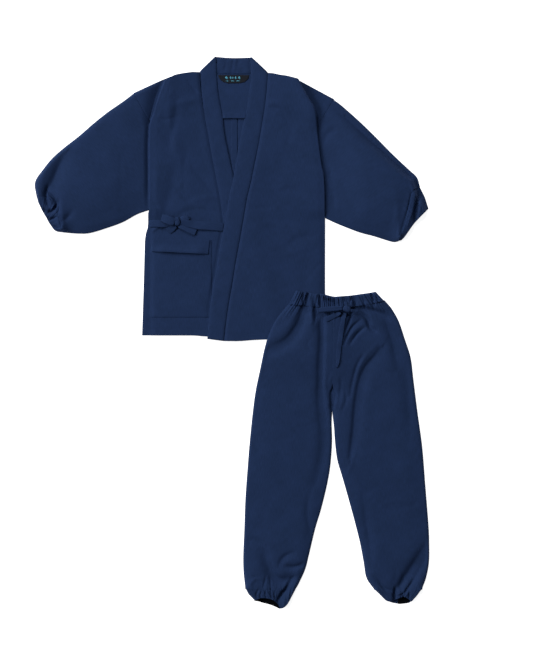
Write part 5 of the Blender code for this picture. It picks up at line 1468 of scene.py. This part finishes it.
jacket_back(RIGHT, cotton)
jacket_back(LEFT, cotton)
centre_back_fell(cotton)
yoke_lining(band_cotton)
neck_label(black_weave, blue_weave)
tongue_right, tongue_left = np.array((POINT_RIGHT, TIP_RIGHT)), np.array((POINT_LEFT, TIP_LEFT))
arm_right, arm_left = groove(FOLD_RIGHT, SIDE_RIGHT), groove(FOLD_LEFT, SIDE_LEFT)
front_right = jacket_front(RIGHT, (smooth_line(FOLD_RIGHT), arm_right, smooth_line(COLLAR_SEAM_RIGHT),
                                   smooth_line(SHOULDER_RIGHT), smooth_line(HEM_RIGHT)),
                           tongue_right, on_floor, CREASES_FRONT_RIGHT, 0.4, cotton)
jacket_front(LEFT, (smooth_line(FOLD_LEFT), arm_left, smooth_line(COLLAR_SEAM_LEFT),
                    smooth_line(SHOULDER_LEFT), smooth_line(HEM_LEFT)),
             tongue_left, lap, CREASES_FRONT_LEFT, 2.9, cotton)
collar(band_cotton)
cuff_seam_right, cuff_seam_left = smooth_line(CUFF_SEAM_RIGHT), smooth_line(CUFF_SEAM_LEFT)
sleeve(RIGHT, (smooth_line(SLEEVE_TOP_RIGHT), smooth_line(SLEEVE_FOOT_RIGHT),
               np.vstack([[POINT_RIGHT], ARMHOLE_RIGHT]), cuff_seam_right),
       arm_right, CREASES_SLEEVE_RIGHT + CREASES_CUFF_RIGHT, cotton)
cuff(RIGHT, cuff_seam_right, CUFF_MIDDLES_RIGHT, CUFF_HEM_RIGHT, CREASES_CUFF_RIGHT, cotton)
sleeve(LEFT, (smooth_line(SLEEVE_TOP_LEFT), smooth_line(SLEEVE_FOOT_LEFT),
              np.vstack([[POINT_LEFT], ARMHOLE_LEFT]), cuff_seam_left),
       arm_left, CREASES_SLEEVE_LEFT + CREASES_CUFF_LEFT, cotton)
cuff(LEFT, cuff_seam_left, CUFF_MIDDLES_LEFT, CUFF_HEM_LEFT, CREASES_CUFF_LEFT, cotton)
pocket_face = pocket(bed_of(front_right), cotton)
pocket_flap(bed_of(pocket_face), cotton)
leg_right = leg(RIGHT, LEG_OUTER_RIGHT, (FRONT_INNER_RIGHT + LEG_INNER_RIGHT, BACK_INNER + LEG_INNER_RIGHT),
                ANKLE_SEAM_RIGHT, CREASES_LEG_RIGHT + CREASES_ANKLE_RIGHT + CREASES_WAIST, cotton)
leg_left = leg(LEFT, LEG_OUTER_LEFT, (FRONT_INNER_LEFT + LEG_INNER_LEFT, BACK_INNER + LEG_INNER_LEFT),
               ANKLE_SEAM_LEFT, CREASES_LEG_LEFT + CREASES_ANKLE_LEFT + CREASES_WAIST, cotton)
band = waistband(cotton)
ankle(RIGHT, (ANKLE_OUTER_RIGHT, ANKLE_INNER_RIGHT), ANKLE_SEAM_RIGHT, ANKLE_HEM_RIGHT, ANKLE_BACK_RIGHT,
      CREASES_ANKLE_RIGHT, cotton)
ankle(LEFT, (ANKLE_OUTER_LEFT, ANKLE_INNER_LEFT), ANKLE_SEAM_LEFT, ANKLE_HEM_LEFT, ANKLE_BACK_LEFT,
      CREASES_ANKLE_LEFT, cotton)
# Strips of painted shade inside the ankle casings.
opening(RIGHT, OPENING_RIGHT, shade)
opening(LEFT, OPENING_LEFT, shade)
bow(bed_of(front_right), cotton)
front_of_trousers = np.concatenate([spots.reshape(-1, 3) for spots in (leg_right, leg_left, band)])
string_line = drawstring(bed_of(front_of_trousers), cotton)
studio()
